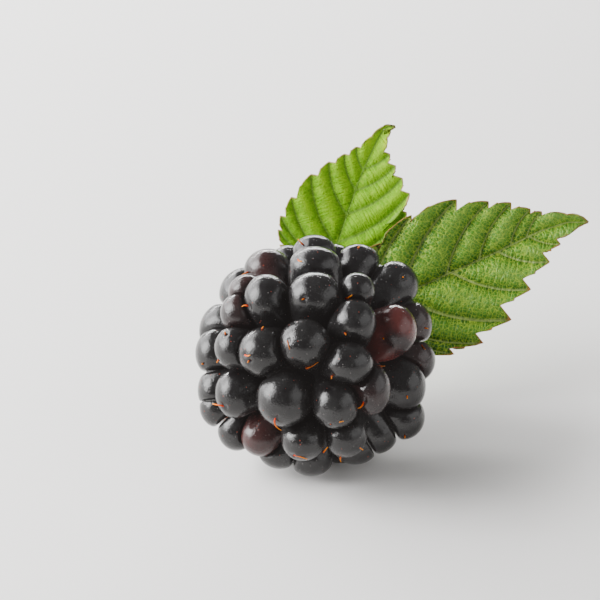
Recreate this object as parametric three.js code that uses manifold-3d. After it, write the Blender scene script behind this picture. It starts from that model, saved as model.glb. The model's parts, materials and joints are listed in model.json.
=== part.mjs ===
// A ripe bramble berry lying on its side, with its calyx, its short stalk and two toothed leaves.
// Millimetres, +Z up. The berry's own axis lies along Y: the round end points to -Y, the stalk to +Y.
// Until the group is shifted at the end, the origin is the middle of the berry.

import * as THREE from 'three';
import { mergeVertices } from 'three/addons/utils/BufferGeometryUtils.js';
import Module from 'manifold-3d';

const wasm = await Module();
wasm.setup();

// ---------------------------------------------------------------- driving dimensions

// Half sizes of the berry over the tops of its drupelets, across, along and up.
const BERRY_HALF = new THREE.Vector3(12.3, 13.5, 12.0);
// The receptacle with the grown-together inner ends of the drupelets reaches to this depth below the tops.
const CORE_DEPTH = 2.9;
// The flats that the lowest drupelets rest on are this far above the lowest point of the round form.
const FLAT_CUT = 0.8;

// Drupelets are laid out as seen from this angle above the level, looking along +Y.
const VIEW_ELEVATION = THREE.MathUtils.degToRad(27);

// Drupelets of the side that is seen: across, up, half width and half height, seen from that angle.
// A last value of true puts the drupelet past the rim, where only its edge shows.
const SEEN_DRUPELETS = [
  [-0.1, 10.35, 2.2, 1.9],
  [-0.1, 9.0, 2.55, 2.0],
  [4.3, 9.3, 2.25, 2.0],
  [8.0, 7.15, 2.4, 2.35],
  [-4.9, 8.7, 2.35, 2.1],
  [-2.7, 9.2, 2.1, 2.0, true],
  [-5.0, 5.6, 2.25, 2.5],
  [-0.1, 5.95, 2.7, 2.4],
  [4.1, 6.6, 1.7, 1.7],
  [3.8, 3.4, 2.1, 2.2],
  [7.95, 2.6, 2.1, 2.45],
  [9.8, 3.1, 2.0, 2.3],
  [10.0, -0.5, 2.1, 2.2],
  [-7.8, 4.3, 1.8, 1.9],
  [-7.0, 6.4, 1.8, 1.75],
  [-10.3, 0.2, 1.95, 2.35],
  [-8.2, 0.8, 1.95, 2.1],
  [-5.3, 0.4, 2.4, 2.35],
  [-1.2, 1.3, 2.4, 2.3],
  [3.2, -0.7, 2.35, 2.05],
  [-10.1, -3.6, 1.9, 2.35],
  [-10.0, -5.3, 1.8, 2.0, true],
  [-8.1, -3.8, 2.0, 2.4],
  [-3.2, -4.2, 2.65, 2.75],
  [1.9, -4.8, 2.2, 2.3],
  [5.5, -3.3, 1.85, 2.45],
  [8.9, -3.1, 2.15, 2.6],
  [-8.1, -7.6, 1.85, 2.05],
  [-5.6, -8.2, 1.95, 1.95],
  [-1.3, -8.4, 2.1, 2.05],
  [2.95, -8.0, 2.05, 2.1],
  [6.2, -7.8, 2.1, 2.15],
  [8.9, -6.3, 2.1, 2.2],
  [-3.7, -9.7, 2.1, 1.8],
  [-0.5, -10.4, 2.15, 1.85],
  [4.0, -9.3, 2.2, 1.75],
];
// Three drupelets underneath that the berry lies on: across and along.
const UNDER_DRUPELETS = [
  [-2.5, -1.3],
  [2.5, -1.3],
  [0.0, 2.9],
];
const HIDDEN_RADIUS = 2.25;
const HIDDEN_RADIUS_SPREAD = 0.08;
const HIDDEN_SEED = 20;
// The hidden side is filled from a spiral of this many places, then the drupelets push apart.
const SPIRAL_PLACES = 700;
// Two drupelets may come this near, as a part of the sum of their radii.
const CROWDING = 0.8;
// None of them is nearer to the viewer than this, so that the seen side stays as it is laid out.
const HIDDEN_TOWARD = -1.5;
const RELAX_STEPS = 60;
const RELAX_PUSH = 0.25;
// Each then swells until it meets this many neighbours, up to the fullest radius.
const FILL_NEIGHBOURS = 4;
const FULLEST_RADIUS = 2.7;
// No drupelet grows on this patch at the stalk end, where the calyx sits.
const CALYX_PATCH_RADIUS = 2.4;

// A drupelet swells against its neighbours: the power sets how flat the sides are where they meet.
const SQUEEZE_POWER = 8;
const SWELL = 1.15;
// Across and up, a drupelet of the seen side swells less, because its outline is laid out as it is.
const SEEN_SWELL = 1.07;
// A drupelet is squeezed only by those nearer than this, as a part of the sum of their radii.
const NEIGHBOUR_REACH = 1.5;
const SIDE_CLEARANCE = 0.97;
// Its root reaches further in than its top stands out.
const ROOT_STRETCH = 0.6;
const DRUPELET_SIDES = 9;
const DRUPELET_RINGS = 6;
const CORE_SIDES = 24;
const CORE_RINGS = 16;

// Calyx: a low cup with five sepals spread against the stalk end of the berry.
const CALYX_Y = 11.1;
const CUP_RADIUS = 2.0;
const CUP_HEIGHT = 2.3;
// Profile of the cup, from its foot in the berry to the stalk: parts of its radius and of its height.
const CUP_PROFILE = [[0, 0], [0.8, 0], [1, 0.2], [0.8, 0.9], [0, 1]];
const CUP_SIDES = 15;
const SEPAL_COUNT = 5;
const SEPAL_Y = 13.05;
const SEPAL_ROOT = 1.2;
const SEPAL_LENGTH = 5.2;
const SEPAL_HALF_WIDTH = 1.75;
const SEPAL_THICKNESS = 0.6;
const SEPAL_STEPS = 7;
const SEPAL_LANES = [-1, -0.5, 0, 0.5, 1];
// A sepal is widest after its root; it starts this far into a half wave of width, and keeps a blunt tip.
const SEPAL_BELLY = 0.28;
const SEPAL_TIP = 0.12;
// It rises and dips by this much along its length, and its edges lie this much lower than its middle.
const SEPAL_CURL = 0.5;
const SEPAL_CURL_TURN = 4.2;
const SEPAL_FOLD = 0.15;

// Stalk: its route from the calyx to its cut end, and its radius.
const STALK_ROUTE = [
  [0, 13.7, 0],
  [-0.2, 16.2, -0.7],
  [-0.6, 18.7, -1.9],
  [-1.1, 21.2, -2.9],
];
const STALK_RADIUS = 0.85;
const STALK_SIDES = 10;
const STALK_STEPS = 8;

const BLADE_THICKNESS = 0.6;
// A blade folds up from its midrib by this part of the way out, and bows down toward its tip.
const BLADE_FOLD = 0.12;
const BLADE_BOW = 1.2;
// It lies lower at its side veins and higher between them, and less so near the margin.
const VEIN_WAVE = 0.2;
const WAVE_FADE = 0.75;
// The lines of the side veins are arched toward the base of the leaf by this part of their length.
const VEIN_ARCH = 0.085;
const MIDRIB_RIDGE = 0.5;
const VEIN_RIDGE = 0.15;
const PETIOLE_RADIUS = 0.5;
const PETIOLE_SIDES = 8;
const PETIOLE_STEPS = 6;
// A petiole starts under the blade and bends at its base: places along the leaf, and heights.
const PETIOLE_START = { along: 0.8, height: -0.3 };
const PETIOLE_BEND = { along: -0.6, height: -0.45 };
// A blade is spanned by rows of points at these parts of the way from the midrib to the margin.
const ROW_PARTS = [0.1, 0.4, 0.7, 1];
const RIB_STEPS = 16;
const RIDGE_LOSS = 0.8;
// The feet of the rays that span a blade stay this far apart along the midrib.
const LEAST_FOOT_STEP = 0.1;
const MARGIN_START = 0.3;
// Points on the long side of a tooth: part of the way, spur on it, and how near a vein it counts.
const TOOTH_SIDE = [
  { part: 0.4, spur: 1, vein: -0.4 },
  { part: 0.47, spur: 0, vein: -0.2 },
  { part: 0.75, spur: 0, vein: 0.4 },
];
// Touching nodes keep this gap.
const NODE_GAP = 0.3;

// Leaves. Each is flat on the whole and faces the viewing direction, `depth` behind the berry's middle.
// `base` is across and up, `chord` the direction of the tip. Margin rows are along, out and the cut of
// the notch past each tooth; a cut of 0 is a plain point of the margin. `hook` is how far a notch leans
// toward the tip for each millimetre of its cut. `sweep` is how far forward a side vein runs for each
// millimetre out. `bulge` rounds the long side of a tooth, as a part of it, and `spur` is a small tooth.
const UPPER_LEAF = {
  name: 'leaf_upper',
  color: 0x7fa52a,
  grow: 1.044,
  base: [1.4, 8.6],
  chord: [0.424, 0.906],
  depth: 17.5,
  length: 16.1,
  petiolePart: 0.7,
  midrib: [
    [0, 0], [4.9, 0.6], [8.7, 1.0], [11.3, 1.1], [14.2, 1.1], [15.4, 0.95], [15.9, 0.6], [16.1, 0],
  ],
  sides: [
    {
      sign: 1,
      sweep: 1.15,
      hook: 0.3,
      bulge: 0.1,
      spur: 0.08,
      margin: [
        [-0.5, 2.2, 0], [-0.5, 4.3, 0], [0.1, 5.6, 0.3], [1.4, 6.4, 0.35], [2.8, 6.8, 0.5], [5.0, 6.6, 0.5],
        [8.0, 5.75, 0.65], [9.95, 4.65, 0.6], [11.35, 3.55, 0.45], [12.55, 2.75, 0.4], [14.2, 1.8, 0],
        [15.5, 1.25, 0], [16.0, 0.7, 0],
      ],
    },
    {
      sign: -1,
      sweep: 1.45,
      hook: -0.08,
      bulge: 0.1,
      spur: 0.08,
      margin: [
        [-0.5, -2.0, 0], [-0.2, -3.8, 0], [1.4, -4.8, 0.4], [3.6, -5.3, 0.5], [6.2, -5.3, 0.5],
        [8.6, -4.75, 0.6], [10.5, -4.2, 0.9], [11.6, -2.85, 1.0], [12.5, -1.7, 0.8], [13.35, -0.65, 0.6],
        [14.7, 0.25, 0], [15.7, 0.3, 0],
      ],
    },
  ],
};
const SIDE_LEAF = {
  name: 'leaf_side',
  color: 0x5f8a33,
  grow: 1.037,
  base: [5.3, 4.0],
  chord: [0.924, 0.384],
  depth: 14.6,
  length: 24.6,
  petiolePart: 0.35,
  midrib: [[0, 0], [5.6, 0.5], [10.5, 0.65], [15.0, 0.77], [19.7, 1.05], [22.6, 0.8], [24.6, 0]],
  sides: [
    {
      sign: 1,
      sweep: 1.35,
      hook: -0.42,
      bulge: 0.11,
      spur: 0.1,
      margin: [
        [-0.3, 2.0, 0], [0.6, 4.4, 0], [2.3, 5.85, 0], [4.0, 6.15, 0.25], [8.05, 7.6, 0.6],
        [12.95, 7.3, 1.0], [15.9, 5.85, 0.6], [18.0, 4.85, 0.6], [19.6, 3.5, 0.4], [20.6, 2.8, 0.3],
        [22.9, 1.55, 0], [24.1, 0.9, 0],
      ],
    },
    {
      sign: -1,
      sweep: 1.38,
      hook: -0.27,
      bulge: 0.01,
      spur: 0.17,
      margin: [
        [-0.3, -2.0, 0], [0.9, -4.6, 0], [3.2, -6.3, 0.5], [6.6, -7.2, 0.7], [9.8, -7.3, 1.2],
        [13.4, -6.2, 1.8], [16.45, -4.1, 1.3], [19.35, -2.25, 1.1], [21.1, -1.0, 0.6], [22.2, -0.45, 0],
        [23.5, -0.1, 0],
      ],
    },
  ],
};

// ---------------------------------------------------------------- solids

/** Turns a closed three.js geometry into a manifold solid. */
function solidOf(geometry) {
  const bare = geometry.clone();
  bare.deleteAttribute('normal');
  bare.deleteAttribute('uv');
  const merged = mergeVertices(bare, 1e-4);
  return new wasm.Manifold(new wasm.Mesh({
    numProp: 3,
    vertProperties: Float32Array.from(merged.attributes.position.array),
    triVerts: Uint32Array.from(merged.index.array),
  }));
}

/** Turns a manifold solid back into a three.js geometry. */
function geometryOf(solid) {
  const mesh = solid.getMesh();
  const geometry = new THREE.BufferGeometry();
  geometry.setAttribute('position', new THREE.BufferAttribute(mesh.vertProperties, 3));
  geometry.setIndex(new THREE.BufferAttribute(mesh.triVerts, 1));
  geometry.computeVertexNormals();
  return geometry;
}

/** A round tube along a smooth curve through the points. */
function tubeSolid(points, radius, sides, steps) {
  const circle = new THREE.Shape();
  circle.absarc(0, 0, radius, 0, 2 * Math.PI);
  const curve = new THREE.CatmullRomCurve3(points);
  const geometry = new THREE.ExtrudeGeometry(circle, { steps, curveSegments: sides / 2, extrudePath: curve });
  return solidOf(geometry);
}

/** A sub-part of the berry as a named mesh. */
function piece(name, solid, color, roughness) {
  const material = new THREE.MeshStandardMaterial({ color, roughness, metalness: 0 });
  const mesh = new THREE.Mesh(geometryOf(solid), material);
  mesh.name = name;
  return mesh;
}

// ---------------------------------------------------------------- the viewing frame

const ACROSS = new THREE.Vector3(1, 0, 0);
const UPWARD = new THREE.Vector3(0, Math.sin(VIEW_ELEVATION), Math.cos(VIEW_ELEVATION));
const TOWARD = new THREE.Vector3(0, -Math.cos(VIEW_ELEVATION), Math.sin(VIEW_ELEVATION));

/** A point given across, up and toward the viewer. */
function viewPoint(across, up, toward) {
  return new THREE.Vector3()
    .addScaledVector(ACROSS, across)
    .addScaledVector(UPWARD, up)
    .addScaledVector(TOWARD, toward);
}

// ---------------------------------------------------------------- drupelets

/** Half sizes of the ellipsoid that holds the middles of drupelets of this radius. */
function middleHalf(radius) {
  return BERRY_HALF.clone().subScalar(SWELL * radius);
}

/** Moves a point onto the ellipsoid for its radius. */
function ontoBerry(point, radius) {
  const half = middleHalf(radius);
  return point.divideScalar(point.clone().divide(half).length());
}

/** The place of a seen drupelet: on the near or the far side of its ellipsoid, or beside its rim. */
function placeSeen(across, up, radius, far) {
  const half = middleHalf(radius);
  const start = viewPoint(across, up, 0).divide(half);
  const step = TOWARD.clone().divide(half);
  const a = step.lengthSq();
  const b = start.dot(step);
  const rest = b * b - a * (start.lengthSq() - 1);
  const side = far ? -1 : 1;
  const toward = (-b + side * Math.sqrt(Math.max(rest, 0))) / a;
  return viewPoint(across, up, toward);
}

/** Random numbers from 0 to 1, the same at every run. */
function seededRandom(seed) {
  let state = seed;
  return () => {
    state = (Math.imul(state, 1664525) + 1013904223) >>> 0;
    return state / 4294967296;
  };
}

/** A drupelet that is as wide as it is high. */
function roundDrupelet(middle, radius) {
  return { middle, radius, wide: radius, tall: radius, swell: SWELL };
}

/** The drupelets laid by hand, on the seen side and underneath. */
function laidDrupelets() {
  const seen = SEEN_DRUPELETS.map(([across, up, wide, tall, far]) => {
    const radius = (wide + tall) / 2;
    return { middle: placeSeen(across, up, radius, far), radius, wide, tall, swell: SEEN_SWELL };
  });
  const half = middleHalf(HIDDEN_RADIUS);
  const under = UNDER_DRUPELETS.map(([x, y]) => {
    const z = -half.z * Math.sqrt(1 - (x / half.x) ** 2 - (y / half.y) ** 2);
    return roundDrupelet(new THREE.Vector3(x, y, z), HIDDEN_RADIUS);
  });
  return [...seen, ...under];
}

/** Places spread evenly over the whole berry, on a spiral round its axis. */
function spiralPlaces(radius) {
  const turn = Math.PI * (3 - Math.sqrt(5));
  const places = [];
  for (let k = 0; k < SPIRAL_PLACES; k += 1) {
    const y = 1 - (2 * k + 1) / SPIRAL_PLACES;
    const ring = Math.sqrt(1 - y * y);
    const place = new THREE.Vector3(ring * Math.cos(k * turn), y, ring * Math.sin(k * turn));
    places.push(place.multiply(middleHalf(radius)));
  }
  return places;
}

/** How far a place is from the nearest drupelet, counted from where the two would just be crowded. */
function clearance(place, radius, others) {
  const spares = others.map(({ middle, radius: otherRadius }) => (
    place.distanceTo(middle) - CROWDING * (otherRadius + radius)
  ));
  return Math.min(...spares);
}

/** Fills the rest of the berry: each new drupelet goes where it sits closest against the others. */
function allDrupelets() {
  const laid = laidDrupelets();
  const random = seededRandom(HIDDEN_SEED);
  const patch = { middle: new THREE.Vector3(0, middleHalf(HIDDEN_RADIUS).y, 0), radius: CALYX_PATCH_RADIUS };
  const fixed = [...laid, patch];
  const free = [];
  let open = true;
  while (open) {
    const radius = HIDDEN_RADIUS * (1 + HIDDEN_RADIUS_SPREAD * (2 * random() - 1));
    const choices = spiralPlaces(radius)
      .filter((middle) => middle.dot(TOWARD) < HIDDEN_TOWARD)
      .map((middle) => ({ middle, spare: clearance(middle, radius, [...fixed, ...free]) }))
      .filter(({ spare }) => spare >= 0)
      .sort((one, other) => one.spare - other.spare);
    open = choices.length > 0;
    if (open) {
      free.push(roundDrupelet(choices[0].middle, radius));
    }
  }
  for (let step = 0; step < RELAX_STEPS; step += 1) {
    for (const one of free) {
      const push = new THREE.Vector3();
      for (const other of [...fixed, ...free]) {
        const apart = one.middle.clone().sub(other.middle);
        const short = one.radius + other.radius - apart.length();
        if (other !== one && short > 0) {
          push.addScaledVector(apart.normalize(), RELAX_PUSH * short);
        }
      }
      ontoBerry(one.middle.add(push), one.radius);
    }
  }
  for (const one of free) {
    const gaps = [...fixed, ...free]
      .filter((other) => other !== one)
      .map((other) => one.middle.distanceTo(other.middle) - other.radius)
      .sort((near, far) => near - far);
    const radius = Math.min(Math.max(gaps[FILL_NEIGHBOURS - 1], HIDDEN_RADIUS), FULLEST_RADIUS);
    Object.assign(one, { radius, wide: radius, tall: radius });
  }
  return [...laid, ...free];
}

/** How far a drupelet reaches in a direction, squeezed by the neighbours that it meets. */
function drupeletReach(direction, drupelet, outward, neighbours) {
  const inward = Math.max(0, -direction.dot(outward));
  const ownLength = (1 - ROOT_STRETCH * inward) * Math.hypot(
    direction.dot(ACROSS) / (drupelet.wide * drupelet.swell),
    direction.dot(UPWARD) / (drupelet.tall * drupelet.swell),
    direction.dot(TOWARD) / (drupelet.radius * SWELL),
  );
  let sum = ownLength ** SQUEEZE_POWER;
  for (const { toward, reach } of neighbours) {
    sum += (Math.max(0, direction.dot(toward)) / reach) ** SQUEEZE_POWER;
  }
  return sum ** (-1 / SQUEEZE_POWER);
}

/** The neighbours of a drupelet: the direction to each, and the distance of the plane between them. */
function neighboursOf(drupelet, drupelets) {
  const found = [];
  for (const other of drupelets) {
    const apart = other.middle.clone().sub(drupelet.middle);
    const distance = apart.length();
    if (other !== drupelet && distance < NEIGHBOUR_REACH * (drupelet.radius + other.radius)) {
      const plane = (distance ** 2 + drupelet.radius ** 2 - other.radius ** 2) / (2 * distance);
      found.push({ toward: apart.normalize(), reach: SIDE_CLEARANCE * plane });
    }
  }
  return found;
}

/** One drupelet, its pole pointing out of the berry. */
function drupeletSolid(drupelet, drupelets) {
  const neighbours = neighboursOf(drupelet, drupelets);
  const geometry = new THREE.SphereGeometry(1, DRUPELET_SIDES, DRUPELET_RINGS);
  const outward = drupelet.middle.clone().divide(BERRY_HALF).divide(BERRY_HALF).normalize();
  const turn = new THREE.Quaternion().setFromUnitVectors(new THREE.Vector3(0, 1, 0), outward);
  const position = geometry.attributes.position;
  const direction = new THREE.Vector3();
  for (let i = 0; i < position.count; i += 1) {
    direction.fromBufferAttribute(position, i).applyQuaternion(turn);
    direction.multiplyScalar(drupeletReach(direction, drupelet, outward, neighbours)).add(drupelet.middle);
    position.setXYZ(i, direction.x, direction.y, direction.z);
  }
  return solidOf(geometry);
}

/** All drupelets grown onto the receptacle, with the flats that the berry lies on. */
function drupeletHead() {
  const core = new THREE.SphereGeometry(1, CORE_SIDES, CORE_RINGS);
  core.scale(BERRY_HALF.x - CORE_DEPTH, BERRY_HALF.y - CORE_DEPTH, BERRY_HALF.z - CORE_DEPTH);
  const drupelets = allDrupelets();
  let head = solidOf(core);
  for (const drupelet of drupelets) {
    head = head.add(drupeletSolid(drupelet, drupelets));
  }
  const below = new THREE.BoxGeometry(2 * BERRY_HALF.x, 2 * BERRY_HALF.y, BERRY_HALF.z);
  below.translate(0, 0, FLAT_CUT - 1.5 * BERRY_HALF.z);
  return head.subtract(solidOf(below));
}

// ---------------------------------------------------------------- blades

/** A closed blade from the points and triangles of its middle surface. Each point has its own normal
 * direction, and its reach above and below the middle surface. */
function bladeSolid(points, triangles) {
  const count = points.length;
  const position = [];
  for (const side of ['above', 'below']) {
    for (const point of points) {
      const reach = side === 'above' ? point.above : -point.below;
      const vertex = point.place.clone().addScaledVector(point.normal, reach);
      position.push(vertex.x, vertex.y, vertex.z);
    }
  }
  const index = [];
  const edges = new Map();
  for (const [a, b, c] of triangles) {
    index.push(a, b, c, count + a, count + c, count + b);
    for (const [from, to] of [[a, b], [b, c], [c, a]]) {
      edges.set(`${from},${to}`, [from, to]);
    }
  }
  for (const [from, to] of edges.values()) {
    if (!edges.has(`${to},${from}`)) {
      index.push(from, count + from, count + to, from, count + to, to);
    }
  }
  const geometry = new THREE.BufferGeometry();
  geometry.setAttribute('position', new THREE.Float32BufferAttribute(position, 3));
  geometry.setIndex(index);
  return solidOf(geometry);
}

/** Across position of a leaf's midrib at a place along its chord. */
function midribAcross(leaf, along) {
  const rows = leaf.midrib;
  const next = Math.max(1, rows.findIndex(([x]) => x >= along));
  const [x0, y0] = rows[next - 1];
  const [x1, y1] = rows[next];
  return y0 + ((y1 - y0) * (Math.max(along, 0) - x0)) / (x1 - x0);
}

/** The margin of one side of a leaf from base to tip. `vein` is 1 where a side vein ends in a tooth,
 * and -1 in the notches between veins. */
function marginPoints(leaf, side) {
  const points = [];
  let last = [0, MARGIN_START * side.sign];
  points.push({ x: last[0], y: last[1], vein: 0 });
  for (const [along, out, cut] of side.margin) {
    const reach = new THREE.Vector2(along - last[0], out - last[1]);
    const outward = new THREE.Vector2(-reach.y, reach.x).multiplyScalar(side.sign);
    if (cut > 0) {
      for (const { part, spur, vein } of TOOTH_SIDE) {
        const off = side.bulge * Math.sin(Math.PI * part) + (spur * side.spur) / reach.length();
        const x = last[0] + part * reach.x + off * outward.x;
        const y = last[1] + part * reach.y + off * outward.y;
        points.push({ x, y, vein });
      }
      points.push({ x: along, y: out, vein: 1 });
      last = [along + side.hook * cut, out - side.sign * cut];
      points.push({ x: last[0], y: last[1], vein: -1 });
    } else {
      last = [along, out];
      points.push({ x: along, y: out, vein: 0 });
    }
  }
  let lastFoot = 0;
  points.forEach((point, k) => {
    const out = Math.abs(point.y - midribAcross(leaf, Math.min(Math.max(point.x, 0), leaf.length)));
    const furthest = leaf.length - LEAST_FOOT_STEP * (points.length - k);
    lastFoot = Math.min(Math.max(point.x - side.sweep * out, lastFoot + LEAST_FOOT_STEP), furthest);
    point.foot = lastFoot;
  });
  return points;
}

/** Height of a leaf's middle surface: a shallow fold along the midrib, a bow, and waves between veins. */
function bladeHeight(leaf, x, y, part, vein) {
  const out = Math.abs(y - midribAcross(leaf, Math.min(Math.max(x, 0), leaf.length)));
  const fold = BLADE_FOLD * out;
  const bow = -BLADE_BOW * (x / leaf.length) ** 2;
  const wave = -VEIN_WAVE * vein * Math.sin(Math.PI * Math.min(1, WAVE_FADE * part));
  return fold + bow + wave;
}

const route = STALK_ROUTE.map(([x, y, z]) => new THREE.Vector3(x, y, z));
const stalkCurve = new THREE.CatmullRomCurve3(route);

/** The end of a petiole, just clear of the stalk, on the side that faces the leaf. */
function petioleEnd(leaf) {
  const onStalk = stalkCurve.getPoint(leaf.petiolePart);
  const base = viewPoint(leaf.base[0] * leaf.grow, leaf.base[1] * leaf.grow, -leaf.depth);
  const outward = base.sub(onStalk).projectOnPlane(stalkCurve.getTangent(leaf.petiolePart)).normalize();
  return onStalk.addScaledVector(outward, STALK_RADIUS + NODE_GAP);
}

/** One leaf with its petiole. */
function leafSolid(leaf) {
  const chord = new THREE.Vector3()
    .addScaledVector(ACROSS, leaf.chord[0])
    .addScaledVector(UPWARD, leaf.chord[1])
    .normalize();
  const across = TOWARD.clone().cross(chord);
  const base = viewPoint(leaf.base[0] * leaf.grow, leaf.base[1] * leaf.grow, -leaf.depth);
  const put = (x, y, z) => base.clone()
    .addScaledVector(chord, x * leaf.grow)
    .addScaledVector(across, y * leaf.grow)
    .addScaledVector(TOWARD, z);
  const points = [];
  const triangles = [];
  const addPoint = (x, y, part, vein, below) => {
    const z = bladeHeight(leaf, x, y, part, vein);
    points.push({
      place: put(x, y, z),
      normal: TOWARD,
      above: BLADE_THICKNESS / 2,
      below: BLADE_THICKNESS / 2 + below,
    });
    return points.length - 1;
  };
  const rib = [];
  for (let k = 0; k <= RIB_STEPS; k += 1) {
    const x = (leaf.length * k) / RIB_STEPS;
    const ridge = MIDRIB_RIDGE * (1 - (RIDGE_LOSS * k) / RIB_STEPS);
    rib.push({ at: x, index: addPoint(x, midribAcross(leaf, x), 0, 0, ridge) });
  }
  for (const side of leaf.sides) {
    const addTriangle = (a, b, c) => {
      if (a !== b && b !== c && c !== a) {
        triangles.push(side.sign > 0 ? [a, c, b] : [a, b, c]);
      }
    };
    const margin = marginPoints(leaf, side);
    const rows = ROW_PARTS.map((part) => margin.map((point) => {
      const footAcross = midribAcross(leaf, point.foot);
      const run = new THREE.Vector2(point.x - point.foot, point.y - footAcross);
      const arch = 4 * part * (1 - part) * VEIN_ARCH * side.sign;
      const x = point.foot + part * run.x - arch * run.y;
      const y = footAcross + part * run.y + arch * run.x;
      const ridge = VEIN_RIDGE * Math.max(0, point.vein);
      return { at: point.foot, index: addPoint(x, y, part, point.vein, ridge) };
    }));
    rows.forEach((line) => line.push(rib[RIB_STEPS]));
    // The first row meets the midrib like a zip: whichever side lags behind steps on.
    let i = 0;
    let j = 0;
    const row = rows[0];
    while (i < rib.length - 1 || j < row.length - 1) {
      const stepRib = j === row.length - 1 || (i < rib.length - 1 && rib[i + 1].at <= row[j + 1].at);
      if (stepRib) {
        addTriangle(rib[i].index, row[j].index, rib[i + 1].index);
        i += 1;
      } else {
        addTriangle(rib[i].index, row[j].index, row[j + 1].index);
        j += 1;
      }
    }
    for (let r = 0; r + 1 < rows.length; r += 1) {
      for (let k = 0; k < margin.length; k += 1) {
        const a = rows[r][k].index;
        const b = rows[r][k + 1].index;
        const c = rows[r + 1][k].index;
        const d = rows[r + 1][k + 1].index;
        addTriangle(a, c, d);
        addTriangle(a, d, b);
      }
    }
  }
  const blade = bladeSolid(points, triangles);
  const start = put(PETIOLE_START.along, midribAcross(leaf, PETIOLE_START.along), PETIOLE_START.height);
  const bend = put(PETIOLE_BEND.along, 0, PETIOLE_BEND.height);
  const petiole = tubeSolid([start, bend, petioleEnd(leaf)], PETIOLE_RADIUS, PETIOLE_SIDES, PETIOLE_STEPS);
  return blade.add(petiole);
}

// ---------------------------------------------------------------- calyx and stalk

/** One sepal, spread out and laid back over the drupelets round the stalk. */
function sepalSolid(angle) {
  const points = [];
  const triangles = [];
  for (let k = 0; k <= SEPAL_STEPS; k += 1) {
    const part = k / SEPAL_STEPS;
    const wave = Math.sin(Math.PI * (SEPAL_BELLY + (1 - SEPAL_BELLY) * part)) ** 0.8;
    const half = SEPAL_HALF_WIDTH * Math.max(SEPAL_TIP, wave);
    for (const lane of SEPAL_LANES) {
      const radial = SEPAL_ROOT + SEPAL_LENGTH * part;
      const swing = angle + (lane * half) / radial;
      const y = SEPAL_Y + SEPAL_CURL * Math.sin(SEPAL_CURL_TURN * part) - SEPAL_FOLD * lane * lane;
      points.push({
        place: new THREE.Vector3(radial * Math.cos(swing), y, radial * Math.sin(swing)),
        normal: new THREE.Vector3(0, 1, 0),
        above: SEPAL_THICKNESS / 2,
        below: SEPAL_THICKNESS / 2,
      });
    }
  }
  for (let k = 0; k < SEPAL_STEPS; k += 1) {
    for (let lane = 0; lane + 1 < SEPAL_LANES.length; lane += 1) {
      const a = k * SEPAL_LANES.length + lane;
      const c = a + SEPAL_LANES.length;
      triangles.push([a, a + 1, c + 1], [a, c + 1, c]);
    }
  }
  return bladeSolid(points, triangles);
}

/** The cup with its five sepals. */
function calyxSolid() {
  const profile = CUP_PROFILE.map(([x, y]) => new THREE.Vector2(CUP_RADIUS * x, CALYX_Y + CUP_HEIGHT * y));
  let calyx = solidOf(new THREE.LatheGeometry(profile, CUP_SIDES));
  for (let k = 0; k < SEPAL_COUNT; k += 1) {
    calyx = calyx.add(sepalSolid(((k + 0.25) * 2 * Math.PI) / SEPAL_COUNT));
  }
  return calyx;
}

const group = new THREE.Group();
group.add(piece('drupelet_head', drupeletHead(), 0x1c1b1d, 0.3));
group.add(piece('calyx', calyxSolid(), 0x8a9a5a, 0.8));
group.add(piece('stalk', tubeSolid(route, STALK_RADIUS, STALK_SIDES, STALK_STEPS), 0x7f8f45, 0.7));
for (const leaf of [UPPER_LEAF, SIDE_LEAF]) {
  group.add(piece(leaf.name, leafSolid(leaf), leaf.color, 0.6));
}

// The origin goes to the middle of the underside of the whole part.
const box = new THREE.Box3().setFromObject(group);
group.position.set(-(box.min.x + box.max.x) / 2, -(box.min.y + box.max.y) / 2, -box.min.z);

export default group;
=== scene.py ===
"""A ripe bramble berry with its calyx, its stalk and two toothed leaves, dressed for a studio picture.

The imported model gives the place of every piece. Lengths are in millimetres until a mesh is made, and
the viewing frame has three axes: across (to the right), up (the picture's up) and toward the camera.
"""

from __future__ import annotations

import json
import logging
import math
from collections.abc import Callable, Iterator
from dataclasses import dataclass, field
from enum import Enum

import bpy
import numpy as np
from mathutils import Matrix, Vector
from mathutils.bvhtree import BVHTree

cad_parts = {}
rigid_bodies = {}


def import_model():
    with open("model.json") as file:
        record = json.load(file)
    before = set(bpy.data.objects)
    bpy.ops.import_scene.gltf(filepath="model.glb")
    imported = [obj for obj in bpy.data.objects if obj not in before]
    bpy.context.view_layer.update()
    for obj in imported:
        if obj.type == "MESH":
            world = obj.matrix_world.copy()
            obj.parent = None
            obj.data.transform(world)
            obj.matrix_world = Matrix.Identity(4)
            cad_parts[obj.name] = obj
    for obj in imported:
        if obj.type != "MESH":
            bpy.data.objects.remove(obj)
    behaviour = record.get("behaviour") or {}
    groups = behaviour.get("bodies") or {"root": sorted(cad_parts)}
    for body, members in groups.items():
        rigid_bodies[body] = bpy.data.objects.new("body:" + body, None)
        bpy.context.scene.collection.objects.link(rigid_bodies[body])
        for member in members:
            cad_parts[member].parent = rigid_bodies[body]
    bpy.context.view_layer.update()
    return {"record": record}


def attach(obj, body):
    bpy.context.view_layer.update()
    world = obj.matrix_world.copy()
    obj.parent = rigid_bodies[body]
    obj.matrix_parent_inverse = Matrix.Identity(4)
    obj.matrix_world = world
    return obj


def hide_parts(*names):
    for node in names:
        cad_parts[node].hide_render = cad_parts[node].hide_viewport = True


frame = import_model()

LOG = logging.getLogger("bramble_berry")
MM = 0.001
BODY = "root"

Array = np.ndarray
Operator = Callable[..., set[str]]


# ---- the viewing frame

VIEW_ELEVATION = math.radians(27)
ACROSS = np.array([1.0, 0.0, 0.0])
UPWARD = np.array([0.0, math.sin(VIEW_ELEVATION), math.cos(VIEW_ELEVATION)])
TOWARD = np.array([0.0, -math.cos(VIEW_ELEVATION), math.sin(VIEW_ELEVATION)])

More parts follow.
